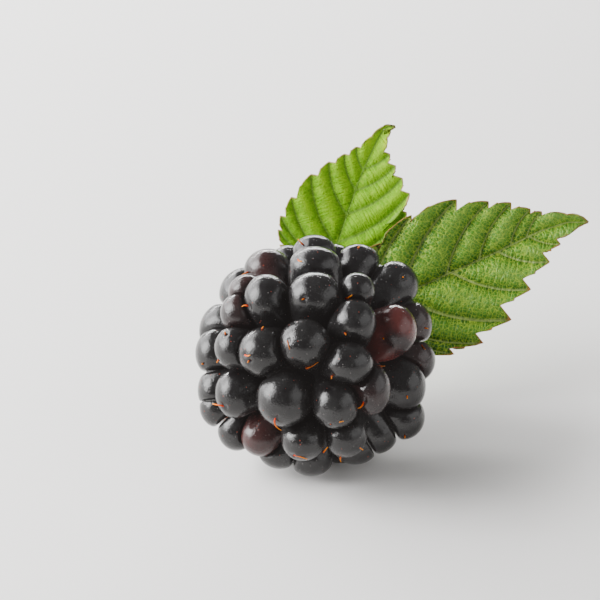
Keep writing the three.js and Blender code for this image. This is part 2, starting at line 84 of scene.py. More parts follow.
# Half sizes of the berry over the tops of its drupelets, across, along and up.
BERRY_HALF = np.array([12.3, 13.5, 12.0])
FLAT_CUT = 0.8
# The rest mount lies on the flat of the rearmost of the three drupelets underneath.
REST_MOUNT_OFFSET = np.array([0.0, 2.9, 0.0])


def berry_middle() -> Array:
    """Middle of the berry in the frame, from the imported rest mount, in millimetres."""
    mount = frame["record"]["mounts"][0]["pos_m"]
    height = np.array([0.0, 0.0, BERRY_HALF[2] - FLAT_CUT])
    return np.array(mount) / MM - REST_MOUNT_OFFSET + height


MIDDLE = berry_middle()


def view_point(across: float, up: float, toward: float) -> Array:
    """A point of the viewing frame, as millimetres from the middle of the berry."""
    return across * ACROSS + up * UPWARD + toward * TOWARD


def unit(vector: Array) -> Array:
    """The vector at length 1."""
    return vector / np.linalg.norm(vector)


# ---- mesh helpers


def deselect_all() -> None:
    """Leaves nothing selected, so that an operator touches only what is new."""
    for thing in bpy.context.view_layer.objects:
        thing.select_set(False)


def activate(thing: bpy.types.Object) -> None:
    """Makes one object the only selected and active one."""
    deselect_all()
    thing.select_set(True)
    bpy.context.view_layer.objects.active = thing


def fresh(operator: Operator, **settings: object) -> bpy.types.Object:
    """Runs an operator that adds an object, with nothing selected, and returns what it added."""
    deselect_all()
    operator(**settings)
    return bpy.context.view_layer.objects.active


def edit(thing: bpy.types.Object, operator: Operator, **settings: object) -> None:
    """Runs an edit mode operator on the whole of an object's mesh."""
    activate(thing)
    bpy.ops.object.mode_set(mode="EDIT")
    bpy.ops.mesh.select_all(action="SELECT")
    operator(**settings)
    bpy.ops.object.mode_set(mode="OBJECT")


def vertices_of(thing: bpy.types.Object) -> Array:
    """The vertices of an object's mesh as rows of x, y and z."""
    flat = np.empty(len(thing.data.vertices) * 3)
    thing.data.vertices.foreach_get("co", flat)
    return flat.reshape(-1, 3)


def set_vertices(thing: bpy.types.Object, points: Array) -> None:
    """Moves an object's vertices to rows of millimetres measured from the middle of the berry."""
    thing.data.vertices.foreach_set("co", ((points + MIDDLE) * MM).ravel())
    thing.data.update()


def add_attribute(thing: bpy.types.Object, name: str, values: Array) -> None:
    """Stores one number for each vertex under a name that a material can read."""
    layer = thing.data.attributes.new(name, "FLOAT", "POINT")
    layer.data.foreach_set("value", np.asarray(values, dtype=np.float32))


def solidify(thing: bpy.types.Object, share: Array, thickness: float, offset: float) -> None:
    """Gives a sheet a thickness that varies over it.

    Args:
        thing: the sheet.
        share: share of the full thickness at each vertex.
        thickness: the full thickness, in millimetres.
        offset: -1 to thicken it downward, 0 to thicken it both ways.
    """
    group = thing.vertex_groups.new(name="thickness")
    for number, value in enumerate(share):
        group.add([number], float(value), "REPLACE")
    solid = thing.modifiers.new("thickness", "SOLIDIFY")
    solid.thickness = thickness * MM
    solid.offset = offset
    solid.vertex_group = group.name
    activate(thing)
    bpy.ops.object.modifier_apply(modifier=solid.name)
    thing.vertex_groups.clear()


def join(pieces: list[bpy.types.Object], name: str) -> bpy.types.Object:
    """Joins objects into the first one, names it and shades it smoothly."""
    activate(pieces[0])
    for one in pieces:
        one.select_set(True)
    bpy.ops.object.join()
    joined = bpy.context.view_layer.objects.active
    joined.name = name
    joined.data.name = name
    bpy.ops.object.shade_smooth()
    return joined


# ---- materials

Socket = bpy.types.NodeSocket


def linear(hex_colour: str) -> tuple[float, float, float, float]:
    """Turns an sRGB hex colour into the linear values that a shader takes."""
    channels = [int(hex_colour[i : i + 2], 16) / 255 for i in (1, 3, 5)]
    values = [c / 12.92 if c <= 0.04045 else ((c + 0.055) / 1.055) ** 2.4 for c in channels]
    return (values[0], values[1], values[2], 1.0)


def per_mm(size: float) -> float:
    """The texture scale at which one blotch or cell is this many millimetres wide."""
    return 1 / (size * MM)


@dataclass
class NodeBoard:
    """A material under construction, with its one Principled shader.

    Sockets that share a name go by number: a MapRange takes its value as 0, what it maps from as 1 and 2
    and what it maps to as 3 and 4, and a Mix takes its share as 0 and its two colours as 6 and 7.
    """

    name: str
    material: bpy.types.Material = field(init=False)

    def __post_init__(self) -> None:
        """Makes the empty material."""
        self.material = bpy.data.materials.new(self.name)
        self.material.use_nodes = True

    def add(self, kind: str, inputs: dict, out: str | int = 0, **settings: object) -> Socket:
        """Adds a node with its settings and links.

        Args:
            kind: the node's type name without its ShaderNode, or "Surface" for the shader itself.
            inputs: socket name or number to a value, or to the output that feeds it.
            out: name or number of the output that is handed back.
            **settings: properties of the node; stops gives a ramp's positions and colours.

        Returns:
            The chosen output.
        """
        tree = self.material.node_tree
        node = tree.nodes["Principled BSDF"] if kind == "Surface" else tree.nodes.new(f"ShaderNode{kind}")
        stops = settings.pop("stops", ())
        for key, value in settings.items():
            setattr(node, key, value)
        for number, (position, colour) in enumerate(stops):
            elements = node.color_ramp.elements
            stop = elements[number] if number < len(elements) else elements.new(position)
            stop.position = position
            stop.color = linear(colour)
        for key, value in inputs.items():
            if isinstance(value, Socket):
                tree.links.new(value, node.inputs[key])
            else:
                node.inputs[key].default_value = value
        return node.outputs[out]


@dataclass(frozen=True)
class DrupeletSkin:
    """Thin waxy fruit skin, swollen over dark juice: near-black, glossy, finely wrinkled and pitted."""

    dark: str = "#0a0809"
    bloom: str = "#1f1f1f"
    red: str = "#331112"
    red_light: str = "#6c302c"
    speck: str = "#8a3a28"
    speck_spacing: float = 0.55
    speck_patch: float = 1.1
    wax: str = "#b9b4b0"
    wax_spacing: float = 0.6
    # A faint glow over the whole skin: painted light that lifts the crevices out of black.
    painted_glow_colour: str = "#fff2ee"
    painted_glow_strength: float = 0.011
    cloud_size: float = 1.8
    blush_size: float = 3.4
    smear_size: float = 0.5
    polish: float = 0.075
    smear_roughness: float = 0.14
    dent: float = 0.9
    dent_depth: float = 0.06
    wrinkle: float = 0.16
    wrinkle_depth: float = 0.026
    pit_spacing: float = 0.34
    pit_depth: float = 0.12

    def make(self) -> bpy.types.Material:
        """Builds the skin: the wrinkles and pits break the gloss up as on a leathery berry."""
        board = NodeBoard("fruit_skin_ripe_bramble")
        add = board.add
        place = add("TexCoord", {}, "Object")
        unripe, deep = (add("Attribute", {}, "Fac", attribute_name=name) for name in ("unripe", "deep"))
        blush, smear, dents, wrinkles, thick = (
            add("TexNoise", {"Vector": place, "Scale": per_mm(size), "Detail": detail})
            for size, detail in zip(
                (self.blush_size, self.smear_size, self.dent, self.wrinkle, self.speck_patch),
                (1.0, 4.0, 2.0, 3.0, 1.0),
            )
        )
        pores, wax, pits = (
            add("TexVoronoi", {"Vector": place, "Scale": per_mm(spacing)})
            for spacing in (self.speck_spacing, self.wax_spacing, self.pit_spacing)
        )
        scale = per_mm(self.cloud_size)
        cloud = add("TexNoise", {"Vector": place, "Scale": scale, "Detail": 5.0, "Roughness": 0.8})
        black = add("ValToRGB", {"Fac": cloud}, stops=((0.35, self.dark), (0.65, self.bloom)))
        red = add("ValToRGB", {"Fac": blush}, stops=((0.3, self.red), (0.75, self.red_light)))
        patches = add("MapRange", {0: blush, 1: 0.2, 2: 0.5, 4: 1.1})
        ripeness = add("Math", {0: unripe, 1: patches}, operation="MULTIPLY", use_clamp=True)
        base = add("Mix", {0: ripeness, 6: black, 7: red}, 2, data_type="RGBA")
        # Breathing pores show as sparse rusty dots about a tenth of a millimetre across.
        rare = add("Math", {0: thick, 1: 0.58}, operation="GREATER_THAN")
        dot = add("Math", {0: pores, 1: 0.13}, operation="LESS_THAN")
        dots = add("Math", {0: dot, 1: rare}, operation="MULTIPLY")
        rusty = add("Math", {0: dots, 1: 0.6}, operation="MULTIPLY")
        # Wax lifts off in pale grains, drawn as coarse as they need to be to show.
        grain = add("MapRange", {0: wax, 1: 0.05, 2: 0.12, 3: 0.42, 4: 0.0})
        grains = add("Math", {0: grain, 1: smear}, operation="MULTIPLY")
        for share, colour in ((rusty, self.speck), (grains, self.wax)):
            base = add("Mix", {0: share, 6: base, 7: linear(colour)}, 2, data_type="RGBA")
        smeared = {0: smear, 1: self.smear_roughness, 2: self.polish}
        glossy = add("Math", smeared, operation="MULTIPLY_ADD")
        # The tissue deep between the drupelets is matt, so the crevices close up dark.
        rough = add("Math", {0: glossy, 1: deep}, operation="MAXIMUM")
        hollow = add("Math", {0: pits, 1: 0.25}, operation="MINIMUM")
        normal = add("Bump", {"Height": dents, "Distance": self.dent_depth * MM, "Strength": 0.45})
        for height, depth, strength in ((wrinkles, self.wrinkle_depth, 1.0), (hollow, self.pit_depth, 0.8)):
            bump = {"Height": height, "Distance": depth * MM, "Strength": strength, "Normal": normal}
            normal = add("Bump", bump)
        surface = {"Base Color": base, "Roughness": rough, "IOR": 1.39, "Normal": normal}
        # A faint emission over the whole skin is painted light: it glows so that the crevices aren't dead
        # black.
        surface |= {"Emission Color": linear(self.painted_glow_colour), "Emission Strength": self.painted_glow_strength}
        add("Surface", surface | {"Coat Weight": 0.1, "Coat Roughness": 0.08, "Coat Normal": normal})
        return board.material


@dataclass(frozen=True)
class DriedStyleFibre:
    """Dried style of the flower: a brittle orange-brown fibre with a paler, thinner tip."""

    root: str = "#c22a06"
    tip: str = "#e68a14"
    brown: str = "#5c2c10"

    def make(self) -> bpy.types.Material:
        """Builds the fibre's finish: colour runs from its root to its tip."""
        board = NodeBoard("plant_fibre_dried_style")
        add = board.add
        along = add("Attribute", {}, "Fac", attribute_name="along")
        tone = add("Attribute", {}, "Fac", attribute_name="tone")
        colour = add("ValToRGB", {"Fac": along}, stops=((0.1, self.root), (0.95, self.tip)))
        base = add("Mix", {0: tone, 6: colour, 7: linear(self.brown)}, 2, data_type="RGBA")
        add("Surface", {"Base Color": base, "Roughness": 0.6, "Specular IOR Level": 0.1})
        return board.material


@dataclass(frozen=True)
class LeafBlade:
    """Living leaf: a thin cuticle with a low sheen over green tissue, puffed up between pressed-in veins."""

    name: str
    # From the hollows beside the veins to the crowns between them: the darker greens are painted shade in the
    # hollows and the paler ones painted light on the crowns.
    greens_painted_shade_to_light: tuple[str, str, str, str]
    vein: str
    net: str
    rim: str
    under: str
    roughness: float
    gloss: float
    puff_depth: float
    net_strength: float
    ladder: tuple[float, float]
    blotch: float
    # Share of the painted shade and light in the tone; the rest is random blotches.
    painted_shade_share: float
    # The finest net is drawn coarser than the living one, so that it shows.
    cell: float = 0.34
    grain: float = 0.14
    grain_depth: float = 0.03

    def make(self) -> bpy.types.Material:
        """Builds the blade: the vein net divides it into small puffed cells, as living leaves show."""
        board = NodeBoard(self.name)
        add = board.add
        place = add("TexCoord", {}, "Object")
        vein, rim, upper, puff = (
            add("Attribute", {}, "Fac", attribute_name=name) for name in ("vein", "rim", "upper", "puff")
        )
        # The net has two sizes: rungs between the side veins, and small cells over the whole blade.
        flat = add("UVMap", {}, "UV", uv_map="net")
        ladder = add("Mapping", {"Vector": flat, "Scale": (1 / self.ladder[0], 1 / self.ladder[1], 1)})
        rungs, small = (
            add("TexVoronoi", {"Vector": on, "Scale": scale, "Randomness": loose}, feature="DISTANCE_TO_EDGE")
            for on, scale, loose in ((ladder, 1.0, 0.7), (flat, 1 / self.cell, 0.6))
        )
        line = add("MapRange", {0: rungs, 1: 0.008, 2: 0.036, 3: 1.0, 4: 0.0})
        fine = add("MapRange", {0: small, 1: 0.02, 2: 0.09, 3: 1.0, 4: 0.0})
        cloud = add("TexNoise", {"Vector": place, "Scale": per_mm(self.blotch), "Detail": 3.0})
        # The tone paints shade into the hollows by the veins and light onto the crowns, mixed with random
        # blotches.
        tone = add("Mix", {0: self.painted_shade_share, 2: cloud, 3: puff}, 0, data_type="FLOAT")
        base = add("ValToRGB", {"Fac": tone}, stops=zip((0.22, 0.48, 0.72, 0.92), self.greens_painted_shade_to_light))
        overlays = (
            (add("Math", {0: fine, 1: 1.25 * self.net_strength}, operation="MULTIPLY"), self.net),
            (add("Math", {0: line, 1: 1.5 * self.net_strength}, operation="MULTIPLY"), self.net),
            (add("MapRange", {0: vein, 1: 0.3, 2: 0.9, 4: 0.85}), self.vein),
            (add("Math", {0: rim, 1: 0.85}, operation="MULTIPLY"), self.rim),
        )
        for share, colour in overlays:
            base = add("Mix", {0: share, 6: base, 7: linear(colour)}, 2, data_type="RGBA")
        # The underside is felted, so the net shows through it only faintly.
        share = add("MapRange", {0: upper, 3: 0.4})
        base = add("Mix", {0: share, 6: linear(self.under), 7: base}, 2, data_type="RGBA")
        rise, small_rise = (
            add("MapRange", {0: cells, 1: 0.0, 2: width}, interpolation_type="SMOOTHSTEP")
            for cells, width in ((rungs, 0.32), (small, 0.3))
        )
        relief = add("Math", {0: small_rise, 1: 0.5, 2: rise}, operation="MULTIPLY_ADD")
        normal = add("Bump", {"Height": relief, "Distance": self.puff_depth * MM, "Strength": 1.0})
        grain = add("TexNoise", {"Vector": place, "Scale": per_mm(self.grain), "Detail": 3.0})
        bump = {"Height": grain, "Distance": self.grain_depth * MM, "Strength": 0.6, "Normal": normal}
        normal = add("Bump", bump)
        surface = {"Base Color": base, "Roughness": self.roughness, "IOR": 1.42, "Normal": normal}
        add("Surface", surface | {"Specular IOR Level": self.gloss})
        return board.material


@dataclass(frozen=True)
class DownyGreen:
    """Soft green plant tissue under short felt, as on sepals and young stalks."""

    name: str
    green: str
    pale: str
    flush: str
    mottle_size: float = 0.8
    flush_size: float = 1.9
    felt_size: float = 0.15
    felt_depth: float = 0.06

    def make(self) -> bpy.types.Material:
        """Builds the downy finish: the felt greys the green and takes the gloss off it."""
        board = NodeBoard(self.name)
        add = board.add
        place = add("TexCoord", {}, "Object")
        mottle = add("TexNoise", {"Vector": place, "Scale": per_mm(self.mottle_size), "Detail": 4.0})
        base = add("ValToRGB", {"Fac": mottle}, stops=((0.3, self.green), (0.7, self.pale)))
        blush = add("TexNoise", {"Vector": place, "Scale": per_mm(self.flush_size), "Detail": 2.0})
        share = add("MapRange", {0: blush, 1: 0.5, 2: 0.75, 4: 0.5})
        base = add("Mix", {0: share, 6: base, 7: linear(self.flush)}, 2, data_type="RGBA")
        felt = add("TexNoise", {"Vector": place, "Scale": per_mm(self.felt_size), "Detail": 4.0})
        normal = add("Bump", {"Height": felt, "Distance": self.felt_depth * MM, "Strength": 0.7})
        surface = {"Base Color": base, "Roughness": 0.8, "IOR": 1.4, "Normal": normal}
        add("Surface", surface | {"Sheen Weight": 0.12, "Sheen Roughness": 0.5})
        return board.material


@dataclass(frozen=True)
class BackdropPaper:
    """Matt backdrop paper, pale and even, with a faint tooth."""

    colour: str = "#e9e7e5"
    tooth_size: float = 0.6
    tooth_depth: float = 0.02

    def make(self) -> bpy.types.Material:
        """Builds the paper."""
        board = NodeBoard("paper_matt_backdrop")
        place = board.add("TexCoord", {}, "Object")
        tooth = board.add("TexNoise", {"Vector": place, "Scale": per_mm(self.tooth_size), "Detail": 2.0})
        normal = board.add("Bump", {"Height": tooth, "Distance": self.tooth_depth * MM, "Strength": 0.3})
        board.add("Surface", {"Base Color": linear(self.colour), "Roughness": 0.9, "Normal": normal})
        return board.material


# ---- drupelets


@dataclass
class Drupelet:
    """One swollen drupelet: its middle, radius, half sizes across and up, redness, and whether it is seen."""

    middle: Array
    radius: float
    wide: float
    tall: float
    unripe: float = 0.0
    seen: bool = False


@dataclass
class DrupeletLayout:
    """Where the drupelets sit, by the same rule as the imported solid."""

    # Across, up, half width, half height; a true puts it past the rim, a last number is its redness.
    seen: tuple = (
        (-0.1, 10.35, 2.2, 1.9), (-0.1, 9.0, 2.55, 2.0), (4.3, 9.3, 2.25, 2.0), (8.0, 7.15, 2.4, 2.35),
        (-4.9, 8.7, 2.35, 2.1, False, 0.14), (-2.7, 9.2, 2.1, 2.0, True), (-5.0, 5.6, 2.25, 2.5),
        (-0.1, 5.95, 2.7, 2.4), (4.1, 6.6, 1.7, 1.7), (3.8, 3.4, 2.1, 2.2),
        (7.95, 2.6, 2.1, 2.45, False, 1.0), (9.8, 3.1, 2.0, 2.3, False, 0.1),
        (10.0, -0.5, 2.1, 2.2, False, 0.1), (-7.8, 4.3, 1.8, 1.9, False, 0.1),
        (-7.0, 6.4, 1.8, 1.75, False, 0.15), (-10.3, 0.2, 1.95, 2.35), (-8.2, 0.8, 1.95, 2.1),
        (-5.3, 0.4, 2.4, 2.35), (-1.2, 1.3, 2.4, 2.3), (3.2, -0.7, 2.35, 2.05), (-10.1, -3.6, 1.9, 2.35),
        (-10.0, -5.3, 1.8, 2.0, True), (-8.1, -3.8, 2.0, 2.4), (-3.2, -4.2, 2.65, 2.75),
        (1.9, -4.8, 2.2, 2.3), (5.5, -3.3, 1.85, 2.45, False, 0.12), (8.9, -3.1, 2.15, 2.6),
        (-8.1, -7.6, 1.85, 2.05), (-5.6, -8.2, 1.95, 1.95, False, 0.2), (-1.3, -8.4, 2.1, 2.05),
        (2.95, -8.0, 2.05, 2.1), (6.2, -7.8, 2.1, 2.15), (8.9, -6.3, 2.1, 2.2), (-3.7, -9.7, 2.1, 1.8),
        (-0.5, -10.4, 2.15, 1.85), (4.0, -9.3, 2.2, 1.75),
    )
    under: tuple = ((-2.5, -1.3), (2.5, -1.3), (0.0, 2.9))
    hidden_radius: float = 2.25
    hidden_spread: float = 0.08
    seed: int = 20
    spiral_places: int = 700
    crowding: float = 0.8
    hidden_toward: float = -1.5
    relax_steps: int = 60
    relax_push: float = 0.25
    fill_neighbours: int = 4
    fullest_radius: float = 2.7
    calyx_patch_radius: float = 2.4
    swell: float = 1.15

    def middle_half(self, radius: float) -> Array:
        """Half sizes of the ellipsoid that holds the middles of drupelets of this radius."""
        return BERRY_HALF - self.swell * radius

    def place_seen(self, across: float, up: float, radius: float, far: bool) -> Array:
        """The place of a seen drupelet: on the near or far side of its ellipsoid, or beside its rim."""
        half = self.middle_half(radius)
        start = view_point(across, up, 0) / half
        step = TOWARD / half
        a = step @ step
        b = start @ step
        rest = b * b - a * (start @ start - 1)
        toward = (-b + (-1 if far else 1) * math.sqrt(max(rest, 0))) / a
        return view_point(across, up, toward)

    def random_numbers(self) -> Iterator[float]:
        """Numbers from 0 to 1 by a linear congruential rule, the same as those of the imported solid."""
        state = self.seed
        while True:
            state = (state * 1664525 + 1013904223) % 4294967296
            yield state / 4294967296

    def laid(self) -> list[Drupelet]:
        """The listed drupelets, on the seen side and underneath."""
        found = []
        for across, up, wide, tall, *rest in self.seen:
            radius = (wide + tall) / 2
            far, redness = (*rest, *(False, 0.0)[len(rest) :])
            middle = self.place_seen(across, up, radius, far)
            found.append(Drupelet(middle, radius, wide, tall, redness, True))
        radius = self.hidden_radius
        half = self.middle_half(radius)
        for x, y in self.under:
            z = -half[2] * math.sqrt(1 - (x / half[0]) ** 2 - (y / half[1]) ** 2)
            found.append(Drupelet(np.array([x, y, z]), radius, radius, radius))
        return found

    def spiral(self, radius: float) -> Array:
        """Places spread evenly over the whole berry, on a spiral round its axis."""
        k = np.arange(self.spiral_places)
        y = 1 - (2 * k + 1) / self.spiral_places
        ring = np.sqrt(1 - y * y)
        turn = math.pi * (3 - math.sqrt(5))
        return np.stack([ring * np.cos(k * turn), y, ring * np.sin(k * turn)], 1) * self.middle_half(radius)

    def lay(self) -> list[Drupelet]:
        """Every drupelet: the laid ones, and the rest where each sits closest against the others."""
        laid = self.laid()
        numbers = self.random_numbers()
        stalk_end = np.array([0, self.middle_half(self.hidden_radius)[1], 0])
        patch = Drupelet(stalk_end, self.calyx_patch_radius, 0, 0)
        everyone = [*laid, patch]
        while True:
            radius = self.hidden_radius * (1 + self.hidden_spread * (2 * next(numbers) - 1))
            places = self.spiral(radius)
            middles = np.array([other.middle for other in everyone])
            reach = self.crowding * (np.array([other.radius for other in everyone]) + radius)
            apart = np.linalg.norm(places[:, None] - middles[None], axis=2)
            spare = (apart - reach).min(axis=1)
            spare[(spare < 0) | (places @ TOWARD >= self.hidden_toward)] = np.inf
            best = int(np.argmin(spare))
            if not np.isfinite(spare[best]):
                break
            everyone.append(Drupelet(places[best], radius, radius, radius))
        free = everyone[len(laid) + 1 :]
        for _ in range(self.relax_steps):
            for one in free:
                self.push_apart(one, everyone)
        for one in free:
            others = [other for other in everyone if other is not one]
            gaps = sorted(np.linalg.norm(one.middle - other.middle) - other.radius for other in others)
            radius = min(max(gaps[self.fill_neighbours - 1], self.hidden_radius), self.fullest_radius)
            one.radius = one.wide = one.tall = radius
        return [*laid, *free]

    def push_apart(self, one: Drupelet, others: list[Drupelet]) -> None:
        """Moves one drupelet a little away from those that crowd it, along the berry's surface."""
        push = np.zeros(3)
        for other in others:
            if other is one:
                continue
            apart = one.middle - other.middle
            distance = float(np.linalg.norm(apart))
            short = one.radius + other.radius - distance
            if short > 0:
                push += apart / distance * self.relax_push * short
        moved = one.middle + push
        one.middle = moved / np.linalg.norm(moved / self.middle_half(one.radius))


@dataclass
class DrupeletHead:
    """The head of drupelets grown together on the receptacle."""

    # Places where the skin is drawn in, across and up, as seen.
    dimples: tuple
    layout: DrupeletLayout = field(default_factory=DrupeletLayout)
    core_depth: float = 5.2
    core_roughness: float = 0.8
    squeeze_power: float = 13.0
    side_clearance: float = 0.965
    root_stretch: float = 0.6
    root_onset: float = 1.5
    seen_swell: float = 1.07
    detail: int = 5
    hidden_detail: int = 4
    fine_toward: float = 4.0
    neighbour_reach: float = 1.5
    dimple_depth: float = 0.16
    dimple_width: float = 0.3
    crease_depth: float = 0.5
    crease_turn: float = 4.0
    drupelets: list[Drupelet] = field(init=False)
    tree: BVHTree = field(init=False)

    def reach(self, directions: Array, one: Drupelet) -> Array:
        """How far a drupelet reaches along unit directions, squeezed by its neighbours.

        Args:
            directions: rows of unit vectors.
            one: the drupelet.

        Returns:
            The reach along each row, in millimetres.
        """
        sideways = self.seen_swell if one.seen else self.layout.swell
        own = np.sqrt(
            (directions @ ACROSS / (one.wide * sideways)) ** 2
            + (directions @ UPWARD / (one.tall * sideways)) ** 2
            + (directions @ TOWARD / (one.radius * self.layout.swell)) ** 2
        )
        inward = np.maximum(0, -(directions @ self.outward(one))) ** self.root_onset
        total = ((1 - self.root_stretch * inward) * own) ** self.squeeze_power
        for other in self.drupelets:
            apart = other.middle - one.middle
            distance = float(np.linalg.norm(apart))
            if other is one or distance > self.neighbour_reach * (one.radius + other.radius):
                continue
            plane = (distance**2 + one.radius**2 - other.radius**2) / (2 * distance)
            lean = np.maximum(0, directions @ (apart / distance))
            total += (lean / (self.side_clearance * plane)) ** self.squeeze_power
        return total ** (-1 / self.squeeze_power)

    def outward(self, one: Drupelet) -> Array:
        """The unit vector out of the berry at a drupelet's middle."""
        return unit(one.middle / BERRY_HALF**2)

    def copy_of(self, master: bpy.types.Object) -> bpy.types.Object:
        """A copy of the master with a mesh of its own."""
        copy = master.copy()
        copy.data = master.data.copy()
        bpy.context.collection.objects.link(copy)
        return copy

    def build(self) -> bpy.types.Object:
        """Builds the head and returns it as one piece."""
        self.drupelets = self.layout.lay()
        ball = bpy.ops.mesh.primitive_ico_sphere_add
        masters = [fresh(ball, subdivisions=detail) for detail in (self.hidden_detail, self.detail)]
        pieces = []
        for one in self.drupelets:
            fine = one.seen and one.middle @ TOWARD > self.fine_toward
            copy = self.copy_of(masters[int(fine)])
            directions = vertices_of(copy)
            directions /= np.linalg.norm(directions, axis=1)[:, None]
            points = one.middle + directions * self.reach(directions, one)[:, None]
            points[:, 2] = np.maximum(points[:, 2], FLAT_CUT - BERRY_HALF[2])
            set_vertices(copy, points)
            add_attribute(copy, "unripe", np.full(len(points), one.unripe))
            pieces.append(copy)
        pieces.append(self.core(masters[0]))
        for master in masters:
            bpy.data.objects.remove(master)
        head = join(pieces, "drupelets")
        self.feel(head)
        self.dimple(head)
        self.feel(head)
        return head

    def feel(self, head: bpy.types.Object) -> None:
        """Notes the skin's faces, so that a place on it can be found."""
        self.tree = BVHTree.FromPolygons(
            [v.co.copy() for v in head.data.vertices], [tuple(p.vertices) for p in head.data.polygons]
        )

    def dimple(self, head: bpy.types.Object) -> None:
        """Draws the skin in round each place where a style stands or has broken off."""
        points = vertices_of(head) / MM - MIDDLE
        for _, skin, normal in self.skin_under(self.dimples):
            off = (points - skin) / self.dimple_width
            crease = 1 + self.crease_depth * np.sin(self.crease_turn * off @ ACROSS)
            depth = self.dimple_depth * crease * np.exp(-(off**2).sum(1))
            points -= depth[:, None] * normal
        set_vertices(head, points)

    def core(self, master: bpy.types.Object) -> bpy.types.Object:
        """The receptacle with the inner ends of the drupelets, seen only deep in the crevices."""
        core = self.copy_of(master)
        points = vertices_of(core) * (BERRY_HALF - self.core_depth)
        set_vertices(core, points)
        add_attribute(core, "unripe", np.zeros(len(points)))
        add_attribute(core, "deep", np.full(len(points), self.core_roughness))
        return core

    def skin_under(self, rows: tuple) -> Iterator[tuple[tuple, Array, Array]]:
        """Each row that starts with a place across and up, with the skin and its normal there."""
        for row in rows:
            found = self.surface_at(row[0], row[1])
            if found is not None:
                yield row, *found

    def surface_at(self, across: float, up: float) -> tuple[Array, Array] | None:
        """The skin at a place, as the camera sees it.

        Args:
            across: place to the right of the berry's middle, in millimetres.
            up: place above it in the view.

        Returns:
            The point and the skin's normal, both in the berry's coordinates, or None past the rim.
        """
        eye = (MIDDLE + CAMERA_OFFSET) * MM
        aim = (MIDDLE + view_point(across, up, 0)) * MM - eye
        hit, normal, _, _ = self.tree.ray_cast(Vector(eye), Vector(aim).normalized())
        if hit is None:
            return None
        return np.array(hit) / MM - MIDDLE, np.array(normal)


# ---- dried styles


class StyleTone(Enum):
    """Colours of the dried styles, as the share of brown in them."""

    ORANGE = 0.0
    GOLD = 0.15
    BROWN = 0.75


